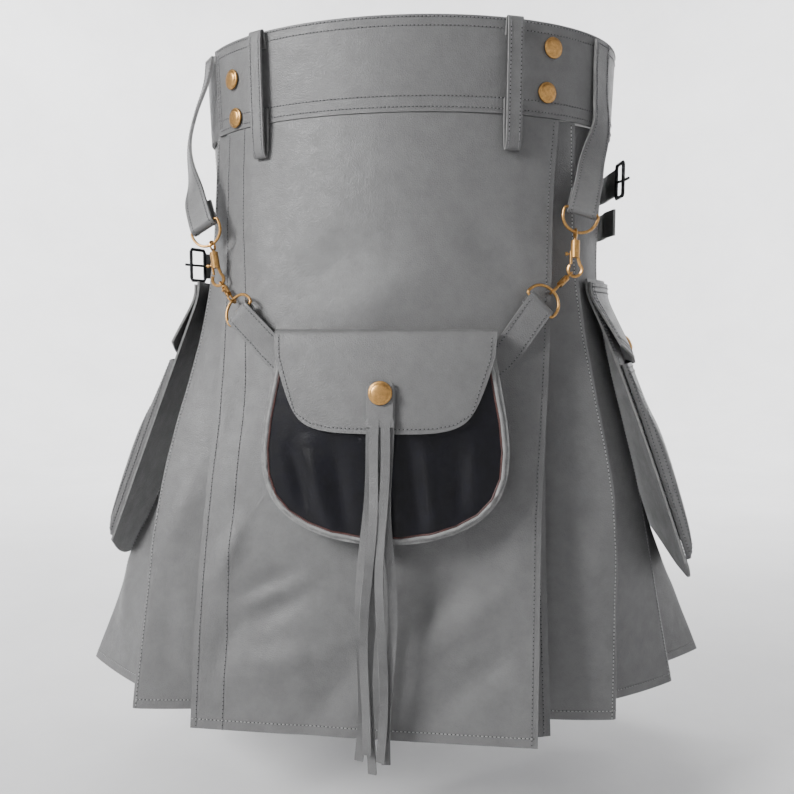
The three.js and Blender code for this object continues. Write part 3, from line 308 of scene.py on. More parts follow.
def join_to_quads(bm):
    """Joins pairs of triangles to four-sided faces."""
    bmesh.ops.join_triangles(
        bm, faces=bm.faces, angle_face_threshold=JOIN_ANGLE, angle_shape_threshold=JOIN_SKEW,
        cmp_seam=False, cmp_sharp=False, cmp_uvs=False, cmp_vcols=False, cmp_materials=False)


def base_mesh(node):
    """A node's mesh as four-sided faces, welded."""
    bm = bmesh.new()
    bm.from_mesh(frame["nodes"][node].data)
    bmesh.ops.remove_doubles(bm, verts=bm.verts, dist=WELD)
    join_to_quads(bm)
    bm.normal_update()
    bm.faces.ensure_lookup_table()
    return bm


def is_sharp(edge):
    """Whether a welded edge turns so far that it ends a face of the wall."""
    return len(edge.link_faces) != 2 or edge.calc_face_angle(math.pi) > BEND


def regions(bm):
    """Groups of faces that are bounded by sharp edges, always in the same order."""
    left = dict.fromkeys(bm.faces)
    found = []
    while left:
        seed = next(iter(left))
        del left[seed]
        group, front = {seed: True}, [seed]
        while front:
            face = front.pop()
            for edge in face.edges:
                if is_sharp(edge):
                    continue
                for other in edge.link_faces:
                    if other in left:
                        del left[other]
                        group[other] = True
                        front.append(other)
        found.append(group)
    return found


def rim_faces(bm, thickness):
    """The narrow faces of a wall's cut edges."""
    rim = set()
    for group in regions(bm):
        outline = sum(e.calc_length() for f in group for e in f.edges
                      if sum(o in group for o in e.link_faces) == 1)
        if sum(f.calc_area() for f in group) / max(outline / 2, 1e-9) < thickness * RIM_SHARE:
            rim.update(group)
    return rim


def outward(place):
    """The level direction away from the kilt's axis."""
    return Vector((place.x / WAIST_HALF_WIDTH ** 2, place.y / WAIST_HALF_DEPTH ** 2, 0)).normalized()


def vertex_places(mesh):
    """The mesh's vertices as rows of numbers."""
    places = np.empty(len(mesh.vertices) * 3)
    mesh.vertices.foreach_get("co", places)
    return places.reshape(-1, 3)


def line_lift(places, start, end, wide, lift):
    """How far one crease lifts each place: most along its middle, and less towards its ends."""
    along = end - start
    share = np.clip(((places - start) @ along) / (along @ along), 0, 1)
    gap = np.linalg.norm(places - start - share[:, None] * along, axis=1)
    return lift * np.sin(np.pi * np.clip(share, 0.04, 0.96)) ** 0.5 * np.exp(-(gap / wide) ** 2)


def shift_front(mesh, table, scale):
    """Moves the vertices of a front-facing piece by a table of creases."""
    places = vertex_places(mesh)
    level = places[:, [0, 2]]
    move = np.zeros(len(places))
    for row in table:
        move += line_lift(level, np.array(row["from"]) * MM, np.array(row["to"]) * MM,
                          row["wide"] * MM, row["out"] * MM)
    places[:, 1] -= move * scale
    mesh.vertices.foreach_set("co", places.ravel())
    mesh.update()


def shift_skirt(mesh, scale):
    """Moves a skirt piece's vertices by the creases round the skirt and a slight waviness."""
    places = vertex_places(mesh)
    out = np.stack([places[:, 0] / WAIST_HALF_WIDTH ** 2, places[:, 1] / WAIST_HALF_DEPTH ** 2,
                    np.zeros(len(places))], axis=1)
    out /= np.linalg.norm(out, axis=1, keepdims=True)
    move = WAVE_HEIGHT * np.array([
        noise.noise(Vector((x * WAVES_ROUND, y * WAVES_ROUND, z * WAVES_DOWN))) for x, y, z in places])
    for row in SIDE_CREASES:
        move += line_lift(places, skirt_place(*row["from"]), skirt_place(*row["to"]),
                          row["wide"] * MM, row["out"] * MM)
    fall = np.clip((BAND_BOTTOM - FREE_BELOW_BAND - places[:, 2]) / FREE_OVER, 0, 1)
    places += out * (move * fall * scale)[:, None]
    mesh.vertices.foreach_set("co", places.ravel())
    mesh.update()


def skirt_place(bearing, height):
    """A place on the skirt, by degrees round from the front and height in mm."""
    turn = math.radians(bearing)
    fall = min(1.0, max(0.0, -height * MM / abs(HEM)))
    wide = WAIST_HALF_WIDTH + HEM_WIDER * fall
    deep = WAIST_HALF_DEPTH + HEM_DEEPER * fall
    reach = 1 / math.hypot(math.sin(turn) / wide, math.cos(turn) / deep)
    return np.array([reach * math.sin(turn), -reach * math.cos(turn), height * MM])


TREES = {}


def soft_sheet(node, thickness, kind, shift=None, fold_crease=0.35):
    """A node's wall as smooth leather with paler cut edges. Returns the object, the welded mesh and its rim
    faces.
    """
    bm = base_mesh(node)
    rim = rim_faces(bm, thickness)
    crease = bm.edges.layers.float.new("crease_edge")
    for edge in bm.edges:
        on_rim = sum(f in rim for f in edge.link_faces)
        if on_rim == 1:
            edge[crease] = 1.0
        elif on_rim == 2:
            edge[crease] = 1.0 if is_sharp(edge) else 0.0
        elif is_sharp(edge):
            edge[crease] = fold_crease
    for face in bm.faces:
        face.material_index = 1 if face in rim else 0
        face.smooth = True
    coarse = bpy.data.meshes.new(node)
    bm.to_mesh(coarse)
    coarse.attributes.remove(coarse.attributes["custom_normal"])
    coarse.materials.append(material(kind))
    coarse.materials.append(material("cut_edge" if kind == "leather" else kind))
    holder = new_object(f"{node}_leather", coarse)
    levels = SHEETS[node]["levels"]
    holder.modifiers.new("smooth", "SUBSURF").levels = levels
    fine = bpy.data.meshes.new_from_object(holder.evaluated_get(bpy.context.evaluated_depsgraph_get()))
    holder.modifiers.clear()
    holder.data = fine
    fine.set_sharp_from_angle(angle=SHADE_ANGLE)
    if shift:
        shift(fine)
    TREES[node] = BVHTree.FromPolygons([v.co for v in fine.vertices], [p.vertices for p in fine.polygons])
    return stand_for(holder, node), bm, rim


def boundary_runs(bm, rim, facing, folds=False):
    """The edges of the wall's outer face, or its folds, each with the way in from it."""
    runs = []
    for group in regions(bm):
        if rim.intersection(group) or len(group) < 2:
            continue
        total = sum((f.normal * f.calc_area() for f in group), Vector())
        centre = sum((f.calc_center_median() for f in group), Vector()) / len(group)
        if total.dot(facing(centre)) <= 0:
            continue
        for face in group:
            for edge in face.edges:
                at_rim = any(o in rim for o in edge.link_faces)
                at_fold = not at_rim and any(o not in group for o in edge.link_faces)
                if at_fold if folds else at_rim:
                    a, b = edge.verts[0].co.copy(), edge.verts[1].co.copy()
                    inward = face.normal.cross(b - a).normalized()
                    middle = face.calc_center_median()
                    if inward.dot(middle - a) < 0:
                        inward.negate()
                    runs.append((a, b, inward, face.normal.copy()))
    return runs


# A stitch: its length as a share of the pitch, its radius, how its middle stands up, and its thin ends
STITCH_SHARE = 0.66
STITCH_RADIUS = 0.5 * MM
STITCH_START = 0.14
STITCH_SIDES = 4
STITCH_LIFT = 0.05 * MM
STITCH_BOW = (0.0, 0.28 * MM, 0.0)
STITCH_THICK = (0.55, 1.0, 0.55)
# A dark disc over each needle's puncture between two stitches, painted shade standing in for the shadow
# inside the puncture: its corners, radius and lift
HOLE_CORNERS = 6
HOLE_RADIUS = 0.55 * MM
HOLE_LIFT = 0.12 * MM


def along_line(points, normals, lengths, want):
    """The place and normal at a distance along a line."""
    i = max(j for j in range(len(lengths) - 1) if lengths[j] <= want)
    share = (want - lengths[i]) / max(lengths[i + 1] - lengths[i], 1e-9)
    return points[i].lerp(points[i + 1], share), normals[i].lerp(normals[i + 1], share).normalized()


def sew(name, lines, pitch_mm, kind="thread"):
    """A row of stitches along each line: short rounded bars, with a near-black disc of painted shade at each
    needle's puncture between them.
    """
    verts, faces, hole_shade_faces = [], [], set()
    for points, normals in lines:
        lengths = [0.0]
        for p, q in zip(points, points[1:]):
            lengths.append(lengths[-1] + (q - p).length)
        for k in range(int(lengths[-1] / (pitch_mm * MM))):
            ends = [(k + STITCH_START + end * STITCH_SHARE) * pitch_mm * MM for end in (0.0, 0.5, 1.0)]
            spots = [along_line(points, normals, lengths, want) for want in ends]
            along = (spots[2][0] - spots[0][0]).normalized()
            start = len(verts)
            for (spot, normal), lift, thick in zip(spots, STITCH_BOW, STITCH_THICK):
                side = along.cross(normal).normalized()
                for s in range(STITCH_SIDES):
                    turn = (s + 0.5) * 2 * math.pi / STITCH_SIDES
                    verts.append(spot + normal * (lift + STITCH_LIFT)
                                 + side * (math.cos(turn) * STITCH_RADIUS * thick)
                                 + normal * (math.sin(turn) * STITCH_RADIUS * thick))
            for ring in range(2):
                for s in range(STITCH_SIDES):
                    a = start + ring * STITCH_SIDES + s
                    b = start + ring * STITCH_SIDES + (s + 1) % STITCH_SIDES
                    faces.append((a, b, b + STITCH_SIDES, a + STITCH_SIDES))
            faces.append(tuple(start + s for s in reversed(range(STITCH_SIDES))))
            faces.append(tuple(start + 2 * STITCH_SIDES + s for s in range(STITCH_SIDES)))
            middle = spots[2][0] + along * ((1 - STITCH_SHARE) / 2 * pitch_mm * MM)
            up = spots[2][1]
            side = along.cross(up).normalized()
            # Each puncture gets a flat near-black disc just above the leather: painted shade for the shadow
            # inside it, not a real opening
            hole_shade_faces.add(len(faces))
            first = len(verts)
            faces.append(tuple(range(first, first + HOLE_CORNERS)))
            for s in range(HOLE_CORNERS):
                turn = s * 2 * math.pi / HOLE_CORNERS
                verts.append(middle + up * HOLE_LIFT
                             + (along * math.cos(turn) + side * math.sin(turn)) * HOLE_RADIUS)
    made = mesh_object(name, verts, faces, (kind, "hole_shade"))
    for index in hole_shade_faces:
        made.data.polygons[index].material_index = 1
    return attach(made, "kilt")


def mesh_object(name, verts, faces, kinds):
    """A smooth object from corners and faces, with its materials."""
    mesh = bpy.data.meshes.new(name)
    mesh.from_pydata([tuple(v) for v in verts], [], faces)
    for kind in kinds:
        mesh.materials.append(material(kind))
    for polygon in mesh.polygons:
        polygon.use_smooth = True
    return new_object(name, mesh)


def round_edge(name, lines, radius, kind, sides=8):
    """A round cord of leather along each line."""
    verts, faces = [], []
    for points, normals in lines:
        start = len(verts)
        for i, (point, normal) in enumerate(zip(points, normals)):
            along = (points[min(i + 1, len(points) - 1)] - points[max(i - 1, 0)]).normalized()
            side = along.cross(normal).normalized()
            up = side.cross(along)
            for s in range(sides):
                turn = s * 2 * math.pi / sides
                verts.append(point + side * (radius * math.cos(turn)) + up * (radius * math.sin(turn)))
        for i in range(len(points) - 1):
            for s in range(sides):
                a, b = start + i * sides + s, start + i * sides + (s + 1) % sides
                faces.append((a, b, b + sides, a + sides))
        last = start + (len(points) - 1) * sides
        faces.append(tuple(start + s for s in reversed(range(sides))))
        faces.append(tuple(last + s for s in range(sides)))
    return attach(mesh_object(name, verts, faces, (kind,)), "kilt")


# A point is dropped onto a sheet from this far off it, over this reach
DROP_FROM = 6 * MM
DROP_REACH = 16 * MM


def settle(node, points, start_normals):
    """Drops points onto a finished sheet, and gives its normals there."""
    places, normals = [], []
    for p, wanted in zip(points, start_normals):
        spot, normal, _, _ = TREES[node].ray_cast(p + wanted * DROP_FROM, -wanted, DROP_REACH)
        if spot is None:
            spot, normal, _, _ = TREES[node].find_nearest(p)
        places.append(spot)
        normals.append(normal if normal.dot(wanted) > 0 else -normal)
    return places, normals


SAME_PLACE = 0.01 * MM
SAME_WAY = 0.5


def chain_runs(runs):
    """Joins boundary edges end to end into longer runs."""
    left = list(runs)
    chains = []
    while left:
        a, b, inward, normal = left.pop(0)
        chain = [(a, inward, normal), (b, inward, normal)]
        while True:
            found = next((
                (k, end, last, way, up)
                for k, (p, q, way, up) in enumerate(left)
                for first, last in ((p, q), (q, p))
                for end in (-1, 0)
                if (first - chain[end][0]).length < SAME_PLACE and way.dot(chain[end][1]) > SAME_WAY), None)
            if not found:
                break
            k, end, last, way, up = found
            place, old_way, old_up = chain[end]
            chain[end] = (place, (old_way + way).normalized(), (old_up + up).normalized())
            chain.insert(len(chain) if end else 0, (last, way, up))
            left.pop(k)
        chains.append(chain)
    return chains


def edge_lines(node, bm, rim, facing, inset_mm, keep=None, folds=False, step_mm=5.0):
    """Lines on a sheet, a set distance in from those of its edges that are wanted."""
    lines = []
    for chain in chain_runs(boundary_runs(bm, rim, facing, folds)):
        kept = [item for item in chain if keep is None or keep(item[0], item[1])]
        if len(kept) < 2:
            continue
        points = [p + way * inset_mm * MM for p, way, _ in kept]
        normals = [up for _, _, up in kept]
        dense, dense_normals = [], []
        for (p, q), (m, n) in zip(zip(points, points[1:]), zip(normals, normals[1:])):
            parts = max(1, int((q - p).length / (step_mm * MM)))
            for k in range(parts):
                dense.append(p.lerp(q, k / parts))
                dense_normals.append(m.lerp(n, k / parts).normalized())
        dense.append(points[-1])
        dense_normals.append(normals[-1])
        lines.append(settle(node, dense, dense_normals))
    return lines


METAL_SHADE_ANGLE = math.radians(38)


def plain_piece(node, levels=0):
    """A piece of metal as a smooth copy of its node."""
    bm = bmesh.new()
    bm.from_mesh(frame["nodes"][node].data)
    bmesh.ops.remove_doubles(bm, verts=bm.verts, dist=WELD)
    if levels:
        join_to_quads(bm)
    for face in bm.faces:
        face.smooth = True
    mesh = bpy.data.meshes.new(node)
    bm.to_mesh(mesh)
    bm.free()
    mesh.attributes.remove(mesh.attributes["custom_normal"])
    mesh.materials.append(material(SLOT_KINDS[SLOT_OF[node]]))
    made = new_object(f"{node}_metal", mesh)
    if levels:
        made.modifiers.new("smooth", "SUBSURF").levels = levels
        fine = bpy.data.meshes.new_from_object(made.evaluated_get(bpy.context.evaluated_depsgraph_get()))
        made.modifiers.clear()
        made.data = fine
    else:
        mesh.set_sharp_from_angle(angle=METAL_SHADE_ANGLE)
    return stand_for(made, node)


STUD_TURNS = 40
STUD_SHADE_ANGLE = math.radians(50)


def stud_profile(crown):
    """A stud's section as shares of its radius and height: its wall, its rim's flat and its crown."""
    return ((0.985, 0.0), (1.0, 0.12), (1.0, 0.34), (0.975, 0.46), (0.93, 0.50), (crown + 0.05, 0.50),
            (crown, 0.58), (crown - 0.06, 0.80), (crown - 0.2, 0.93), (0.3, 0.99))


def snap_stud(node, crown):
    """A turned brass cap on the place, axis, radius and height of its node."""
    mesh = frame["nodes"][node].data
    flat = {}
    for polygon in mesh.polygons:
        key = tuple(round(c, 1) for c in polygon.normal)
        area, place, way = flat.get(key, (0.0, Vector(), Vector()))
        flat[key] = (area + polygon.area, place + polygon.center * polygon.area,
                     way + polygon.normal * polygon.area)
    area, place, way = max(flat.values(), key=lambda item: item[0])
    centre, axis = place / area, -way.normalized()
    reach = [v.co - centre for v in mesh.vertices]
    height = max(r.dot(axis) for r in reach)
    radius = max((r - axis * r.dot(axis)).length for r in reach)
    profile = stud_profile(crown)
    side = axis.orthogonal().normalized()
    up = axis.cross(side)
    steps = [k * 2 * math.pi / STUD_TURNS for k in range(STUD_TURNS)]
    verts = [centre + (side * math.cos(turn) + up * math.sin(turn)) * radius * r + axis * height * h
             for r, h in profile for turn in steps]
    verts.append(centre + axis * height)
    faces = ring_faces(len(profile), STUD_TURNS)
    top = (len(profile) - 1) * STUD_TURNS
    faces += [(top + k, top + (k + 1) % STUD_TURNS, len(verts) - 1) for k in range(STUD_TURNS)]
    faces.append(tuple(reversed(range(STUD_TURNS))))
    made = mesh_object(f"{node}_cap", verts, faces, ("brass",))
    made.data.set_sharp_from_angle(angle=STUD_SHADE_ANGLE)
    return stand_for(made, node)


def ring_faces(rings, turns):
    """The faces between rings of points that follow each other."""
    found = []
    for low in range(0, (rings - 1) * turns, turns):
        for k in range(turns):
            after = (k + 1) % turns
            found.append((low + k, low + after, low + turns + after, low + turns + k))
    return found


def to_front(_):
    """The way the front of the kilt faces."""
    return Vector((0, -1, 0))


# How far in from its edge each row of stitches lies, in mm
EDGE_ROW_MM = 5
SEAM_ROW_MM = 29
HEM_ROW_MM = 8
UNDER_ROW_MM = 6
LOOP_ROW_MM = 2.2
STRAP_ROW_MM = 3
FLAP_ROW_MM = 4
POCKET_ROWS_MM = (4, 9)
# The same for the pouch's piping and the painted edge inside it
PIPING_IN_MM = 0.9
PAINT_IN_MM = 3.0
# How sharp a strap's bends stay when it is smoothed
SOFT_BEND = 0.2
# How nearly the way in from an edge has to lie along an axis
MOSTLY = 0.7


def at_side(_, way):
    """Whether this way in belongs to an upright edge."""
    return abs(way.x) > MOSTLY


def at_left_side(_, way):
    """Whether this way in belongs to the left upright edge."""
    return way.x > MOSTLY


def at_hem(_, way):
    """Whether this way in belongs to the hem."""
    return way.z > MOSTLY


def at_long_edge(_, way):
    """Whether this way in belongs to a loop's long edge."""
    return abs(way.z) < 0.5


def on_top(place, way):
    """Whether this way in from a fold lies along the face that shows."""
    return abs(way.dot(outward(place))) < 0.6


class KiltSizes(bpy.types.PropertyGroup):
    stitch_pitch: bpy.props.FloatProperty(
        name="Stitch pitch", description="Distance from one stitch to the next, in mm",
        default=3.4, min=2.0, max=6.0)
    crease_scale: bpy.props.FloatProperty(
        name="Crease depth", description="How deep the leather's creases are, as a share",
        default=1.7, min=0.0, max=3.0, subtype="FACTOR")
    wall: bpy.props.FloatProperty(
        name="Leather thickness", description="Thickness of the skirt's leather",
        default=2.0 * MM, unit="LENGTH")
    band_wall: bpy.props.FloatProperty(
        name="Band thickness", description="Thickness of the waistband", default=3.0 * MM, unit="LENGTH")
    strap_wall: bpy.props.FloatProperty(
        name="Strap thickness", description="Thickness of the straps", default=2.4 * MM, unit="LENGTH")
    gusset_wall: bpy.props.FloatProperty(
        name="Gusset thickness", description="Thickness of the pouch's gusset", default=2.6 * MM,
        unit="LENGTH")
    piping_radius: bpy.props.FloatProperty(
        name="Piping radius", description="Radius of the piping round the pouch's front",
        default=1.9 * MM, unit="LENGTH")
    stud_flat: bpy.props.FloatProperty(
        name="Stud crown", description="Radius of a snap stud's low crown, as a share of its cap's",
        default=0.82, min=0.4, max=0.95, subtype="FACTOR")


class KiltColours(bpy.types.PropertyGroup):
    leather_dark: bpy.props.StringProperty(
        name="Leather, dark", description="Darker shade of the grey leather", default="#595959")
    leather_light: bpy.props.StringProperty(
        name="Leather, light", description="Lighter shade of the grey leather", default="#626262")
    edge: bpy.props.StringProperty(
        name="Cut edge", description="Colour of the leather's cut edges", default="#7d7d7c")
    black_dark: bpy.props.StringProperty(
        name="Black leather, dark", description="Darker shade of the pouch's front", default="#08080b")
    black_light: bpy.props.StringProperty(
        name="Black leather, light", description="Lighter shade of the pouch's front", default="#101017")
    brass_dark: bpy.props.StringProperty(
        name="Brass, dark", description="Tarnished shade of the brass", default="#9a7444")
    brass_light: bpy.props.StringProperty(
        name="Brass, light", description="Rubbed shade of the brass", default="#c99c60")
    steel_dark: bpy.props.StringProperty(
        name="Steel, dark", description="Darker shade of the buckles", default="#202022")
    steel_light: bpy.props.StringProperty(
        name="Steel, light", description="Lighter shade of the buckles", default="#3a3a3c")
    thread: bpy.props.StringProperty(
        name="Thread", description="Colour of the dark thread", default="#6c6c6e")
    pale_thread: bpy.props.StringProperty(
        name="Pale thread", description="Colour of the pale thread", default="#a6a6a6")
    trim_dark: bpy.props.StringProperty(
        name="Edge paint, dark", description="Darker shade of the painted edge round the pouch",
        default="#2a1412")
    trim_light: bpy.props.StringProperty(
        name="Edge paint, light", description="Lighter shade of the painted edge round the pouch",
        default="#4a2620")
    floor_dark: bpy.props.StringProperty(
        name="Floor, dark", description="Darker shade of the floor and backdrop", default="#cacacb")
    floor: bpy.props.StringProperty(
        name="Floor", description="Colour of the floor and backdrop", default="#d2d2d3")


# The band's two strips, each with the angles that its level rows of stitches run between
BAND_STRIPS = (("waistband_front", -59.0, 87.6), ("waistband_back", 88.6, 280.0))
# The heights of those rows in mm, and the angles and heights of the short rows at the outer end
BAND_ROWS = (37.5, 30.5, -26.5, -35.5)
BAND_ROW_POINTS = 160
BAND_END_ANGLES = (-59.2, -57.6)
BAND_END_HEIGHTS = range(35, -36, -5)


def band_line(height_mm, start, end, node, count):
    """A level line round the waistband, between two angles."""
    points, normals = [], []
    for k in range(count):
        turn = math.radians(start + (end - start) * k / (count - 1))
        point, way = band_place(turn, height_mm)
        points.append(point)
        normals.append(way)
    return settle(node, points, normals)


def band_place(turn, height_mm):
    """A place 1 mm off the middle of the band's wall, and the way out from it."""
    way = Vector((math.sin(turn) / WAIST_HALF_WIDTH, -math.cos(turn) / WAIST_HALF_DEPTH, 0)).normalized()
    place = Vector((WAIST_HALF_WIDTH * math.sin(turn), -WAIST_HALF_DEPTH * math.cos(turn), height_mm * MM))
    return place + way * MM, way


class KILT_OT_waistband(bpy.types.Operator):
    """Builds the waistband's two strips and their rows of stitches"""
    bl_idname = "kilt.waistband"
    bl_label = "Waistband"

    def execute(self, context):
        sizes = context.scene.kilt_sizes
        for node, start, end in BAND_STRIPS:
            made, bm, _ = soft_sheet(node, sizes.band_wall, "leather")
            bm.free()
            lines = [band_line(height, start, end, node, BAND_ROW_POINTS) for height in BAND_ROWS]
            if node == "waistband_front":
                for angle in BAND_END_ANGLES:
                    spots = [band_place(math.radians(angle), height) for height in BAND_END_HEIGHTS]
                    lines.append(settle(node, [p for p, _ in spots], [way for _, way in spots]))
            sew(f"{node}_stitches", lines, sizes.stitch_pitch)
        return {"FINISHED"}


class KILT_OT_aprons(bpy.types.Operator):
    """Builds the front apron with its stitched edges, and the under apron"""
    bl_idname = "kilt.aprons"
    bl_label = "Aprons"

    def execute(self, context):
        sizes = context.scene.kilt_sizes

        def shift(mesh):
            shift_front(mesh, FRONT_CREASES, sizes.crease_scale)

        made, bm, rim = soft_sheet("front_apron", sizes.wall, "leather", shift)
        lines = edge_lines("front_apron", bm, rim, to_front, EDGE_ROW_MM, at_side)
        lines += edge_lines("front_apron", bm, rim, to_front, SEAM_ROW_MM, at_left_side)
        pale = edge_lines("front_apron", bm, rim, to_front, HEM_ROW_MM, at_hem)
        bm.free()
        sew("front_apron_stitches", lines, sizes.stitch_pitch)
        sew("front_apron_hem", pale, sizes.stitch_pitch, "pale_thread")
        made, bm, rim = soft_sheet("under_apron", sizes.wall, "leather", shift)
        lines = edge_lines("under_apron", bm, rim, to_front, UNDER_ROW_MM, at_side)
        bm.free()
        sew("under_apron_stitches", lines, sizes.stitch_pitch)
        return {"FINISHED"}


class KILT_OT_pleats(bpy.types.Operator):
    """Builds the knife pleats and the box pleat at the back"""
    bl_idname = "kilt.pleats"
    bl_label = "Pleats"

    def execute(self, context):
        sizes = context.scene.kilt_sizes

        def shift(mesh):
            shift_skirt(mesh, sizes.crease_scale)

        names = [f"pleat_{side}_{k}" for side in SIDES for k in range(1, 7)] + ["back_panel"]
        for node in names:
            made, bm, rim = soft_sheet(node, sizes.wall, "leather", shift)
            lines = edge_lines(node, bm, rim, outward, HEM_ROW_MM, at_hem)
            lines += edge_lines(node, bm, rim, outward, EDGE_ROW_MM, on_top, folds=True)
            bm.free()
            sew(f"{node}_stitches", lines, sizes.stitch_pitch, "pale_thread")
        return {"FINISHED"}


class KILT_OT_loops(bpy.types.Operator):
    """Builds the belt loops"""
    bl_idname = "kilt.loops"
    bl_label = "Belt loops"

    def execute(self, context):
        sizes = context.scene.kilt_sizes
        for node in [n for n in SHEETS if n.startswith("belt_loop")]:
            made, bm, rim = soft_sheet(node, sizes.wall, "leather", fold_crease=SOFT_BEND)
            lines = edge_lines(node, bm, rim, outward, LOOP_ROW_MM, at_long_edge)
            bm.free()
            sew(f"{node}_stitches", lines, sizes.stitch_pitch)
        return {"FINISHED"}


class KILT_OT_straps(bpy.types.Operator):
    """Builds the hang straps, the pouch's straps and the hip straps"""
    bl_idname = "kilt.straps"
    bl_label = "Straps"

    def execute(self, context):
        sizes = context.scene.kilt_sizes
        for node in [n for n in SHEETS if "strap" in n]:
            facing = outward if node.startswith("hip") else to_front
            made, bm, rim = soft_sheet(node, sizes.strap_wall, "leather", fold_crease=SOFT_BEND)
            lines = edge_lines(node, bm, rim, facing, STRAP_ROW_MM)
            bm.free()
            sew(f"{node}_stitches", lines, sizes.stitch_pitch)
        return {"FINISHED"}


class KILT_OT_pouch(bpy.types.Operator):
    """Builds the hung pouch with its flap, piping and tassel"""
    bl_idname = "kilt.pouch"
    bl_label = "Sporran"

    def execute(self, context):
        sizes = context.scene.kilt_sizes

        def shift(mesh):
            shift_front(mesh, POUCH_CREASES, sizes.crease_scale)

        for node in ("sporran_back", "sporran_gusset", "sporran_front", "sporran_flap", "tassel"):
            thickness = sizes.gusset_wall if node == "sporran_gusset" else sizes.wall
            front = node == "sporran_front"
            made, bm, rim = soft_sheet(node, thickness, "black_leather" if front else "leather",
                                       shift if front else None)
            if node == "sporran_flap":
                row = edge_lines(node, bm, rim, to_front, FLAP_ROW_MM)
                sew("sporran_flap_stitches", row, sizes.stitch_pitch)
            if front:
                edge = edge_lines(node, bm, rim, to_front, PIPING_IN_MM)
                round_edge("sporran_piping", edge, sizes.piping_radius, "piping")
                inner = edge_lines(node, bm, rim, to_front, PAINT_IN_MM)
                round_edge("sporran_edge_paint", inner, sizes.piping_radius / 2, "bound_edge")
            bm.free()
        return {"FINISHED"}


class KILT_OT_pockets(bpy.types.Operator):
    """Builds the two hip pockets"""
    bl_idname = "kilt.pockets"
    bl_label = "Pockets"

    def execute(self, context):
        sizes = context.scene.kilt_sizes
        for node in [n for n in SHEETS if n.startswith("pocket")]:
            made, bm, rim = soft_sheet(node, sizes.wall, "leather")
            lines = [line for inset in POCKET_ROWS_MM for line in edge_lines(node, bm, rim, outward, inset)]
            bm.free()
            sew(f"{node}_stitches", lines, sizes.stitch_pitch)
        return {"FINISHED"}


class KILT_OT_hardware(bpy.types.Operator):
    """Builds the studs, rings, snaps and buckles"""
    bl_idname = "kilt.hardware"
    bl_label = "Hardware"

    def execute(self, context):
        for node in BODY_OF:
            if node in SHEETS:
                continue
            if "stud" in node:
                snap_stud(node, context.scene.kilt_sizes.stud_flat)
            else:
                plain_piece(node, levels=1 if "ring" in node else 0)
        return {"FINISHED"}


# The backdrop, in metres: its level floor, the curve up to its wall, and the wall's top
FLOOR = -0.70
FLOOR_RADIUS = 2.2
COVE = 1.4
BACKDROP_TOP = 3.2
SKY_STRENGTH = 0.25
# Each light's name, place, aim, size in metres and power in watts
MIDDLE = (0, 0, -0.25)
LIGHTS = (
    ("key", (-1.7, -1.6, 1.0), MIDDLE, 0.8, 118),
    ("fill", (1.9, -1.2, 0.3), MIDDLE, 1.6, 2),
    ("top", (-0.2, 0.5, 2.0), MIDDLE, 1.2, 22),
    ("backdrop_left", (-1.6, 1.2, 1.4), (-1.0, 3.4, 0.2), 1.4, 150),
    ("backdrop_right", (1.6, 1.2, 1.4), (1.0, 3.4, 0.2), 1.4, 150),
)


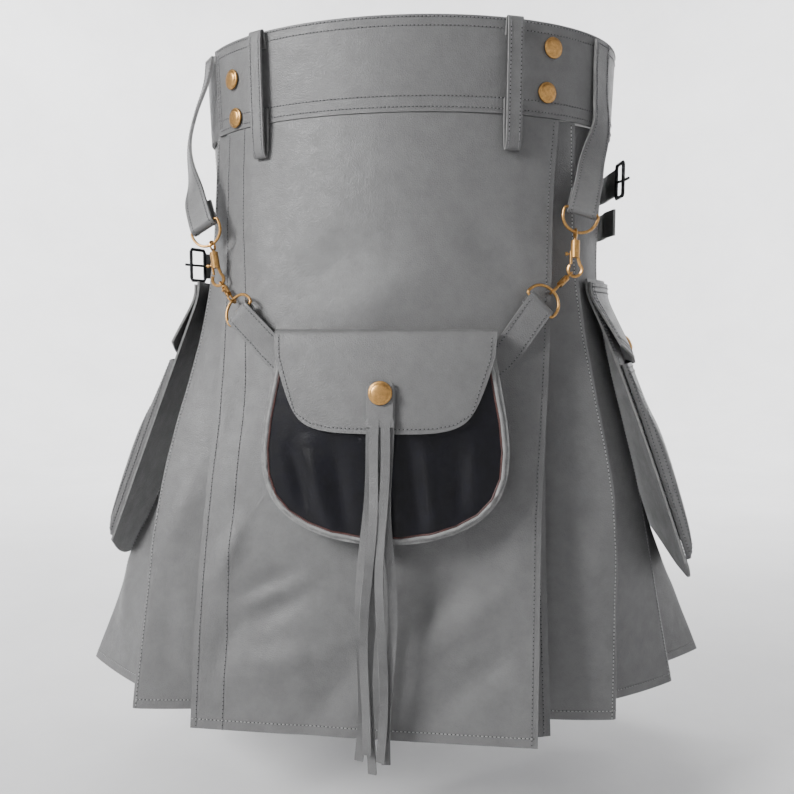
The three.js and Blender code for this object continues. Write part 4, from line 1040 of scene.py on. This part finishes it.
class KILT_OT_stage(bpy.types.Operator):
    """Builds the pale bowl-shaped backdrop, the soft lights and the camera"""
    bl_idname = "kilt.stage"
    bl_label = "Stage"

    def execute(self, context):
        profile = [(0.0, FLOOR), (FLOOR_RADIUS, FLOOR)]
        profile += [(FLOOR_RADIUS + COVE * math.sin(t), FLOOR + COVE * (1 - math.cos(t)))
                    for t in np.linspace(0.1, math.pi / 2, 14)]
        profile += [(FLOOR_RADIUS + COVE, BACKDROP_TOP)]
        turns = 96
        verts = [(r * math.cos(2 * math.pi * k / turns), r * math.sin(2 * math.pi * k / turns), z)
                 for r, z in profile for k in range(turns)]
        mesh_object("backdrop", verts, ring_faces(len(profile), turns), ("floor",))

        for name, place, aim, size, power in LIGHTS:
            data = bpy.data.lights.new(name, "AREA")
            data.size = size
            data.energy = power
            made = bpy.data.objects.new(name, data)
            made.location = place
            way = Vector(aim) - Vector(place)
            made.rotation_euler = way.to_track_quat("-Z", "Y").to_euler()
            made.visible_camera = False
            context.collection.objects.link(made)
        world = bpy.data.worlds.new("studio")
        world.use_nodes = True
        sky = world.node_tree.nodes["Background"]
        sky.inputs["Color"].default_value = (1, 1, 1, 1)
        sky.inputs["Strength"].default_value = SKY_STRENGTH
        context.scene.world = world

        camera = bpy.data.objects.new("camera", bpy.data.cameras.new("camera"))
        camera.data.lens = 36.51
        camera.data.sensor_width = 36.0
        camera.location = (0.08832, -0.84027, -0.2225)
        camera.rotation_euler = (math.radians(85.03), 0, math.radians(6.747))
        context.collection.objects.link(camera)
        context.scene.camera = camera
        return {"FINISHED"}


class KILT_PT_panel(bpy.types.Panel):
    """Lists the kilt's pieces, sizes and colours"""
    bl_label = "Leather kilt"
    bl_idname = "KILT_PT_panel"
    bl_space_type = "VIEW_3D"
    bl_region_type = "UI"
    bl_category = "Kilt"

    def draw(self, context):
        for group in (context.scene.kilt_sizes, context.scene.kilt_colours):
            for name in group.__annotations__:
                self.layout.prop(group, name)
        for operator in OPERATORS:
            self.layout.operator(operator.bl_idname)


OPERATORS = (KILT_OT_waistband, KILT_OT_aprons, KILT_OT_pleats, KILT_OT_loops, KILT_OT_straps, KILT_OT_pouch,
             KILT_OT_pockets, KILT_OT_hardware, KILT_OT_stage)
CLASSES = (KiltSizes, KiltColours, *OPERATORS, KILT_PT_panel)


def register():
    """Registers the classes and puts the sizes and colours on the scene."""
    for made in CLASSES:
        bpy.utils.register_class(made)
    bpy.types.Scene.kilt_sizes = bpy.props.PointerProperty(type=KiltSizes)
    bpy.types.Scene.kilt_colours = bpy.props.PointerProperty(type=KiltColours)


def unregister():
    """Takes the sizes, colours and classes away again."""
    del bpy.types.Scene.kilt_colours
    del bpy.types.Scene.kilt_sizes
    for made in reversed(CLASSES):
        bpy.utils.unregister_class(made)


def main():
    """Builds the kilt and its stage."""
    register()
    for operator in OPERATORS:
        group, name = operator.bl_idname.split(".")
        getattr(getattr(bpy.ops, group), name)()


if __name__ == "__main__":
    main()
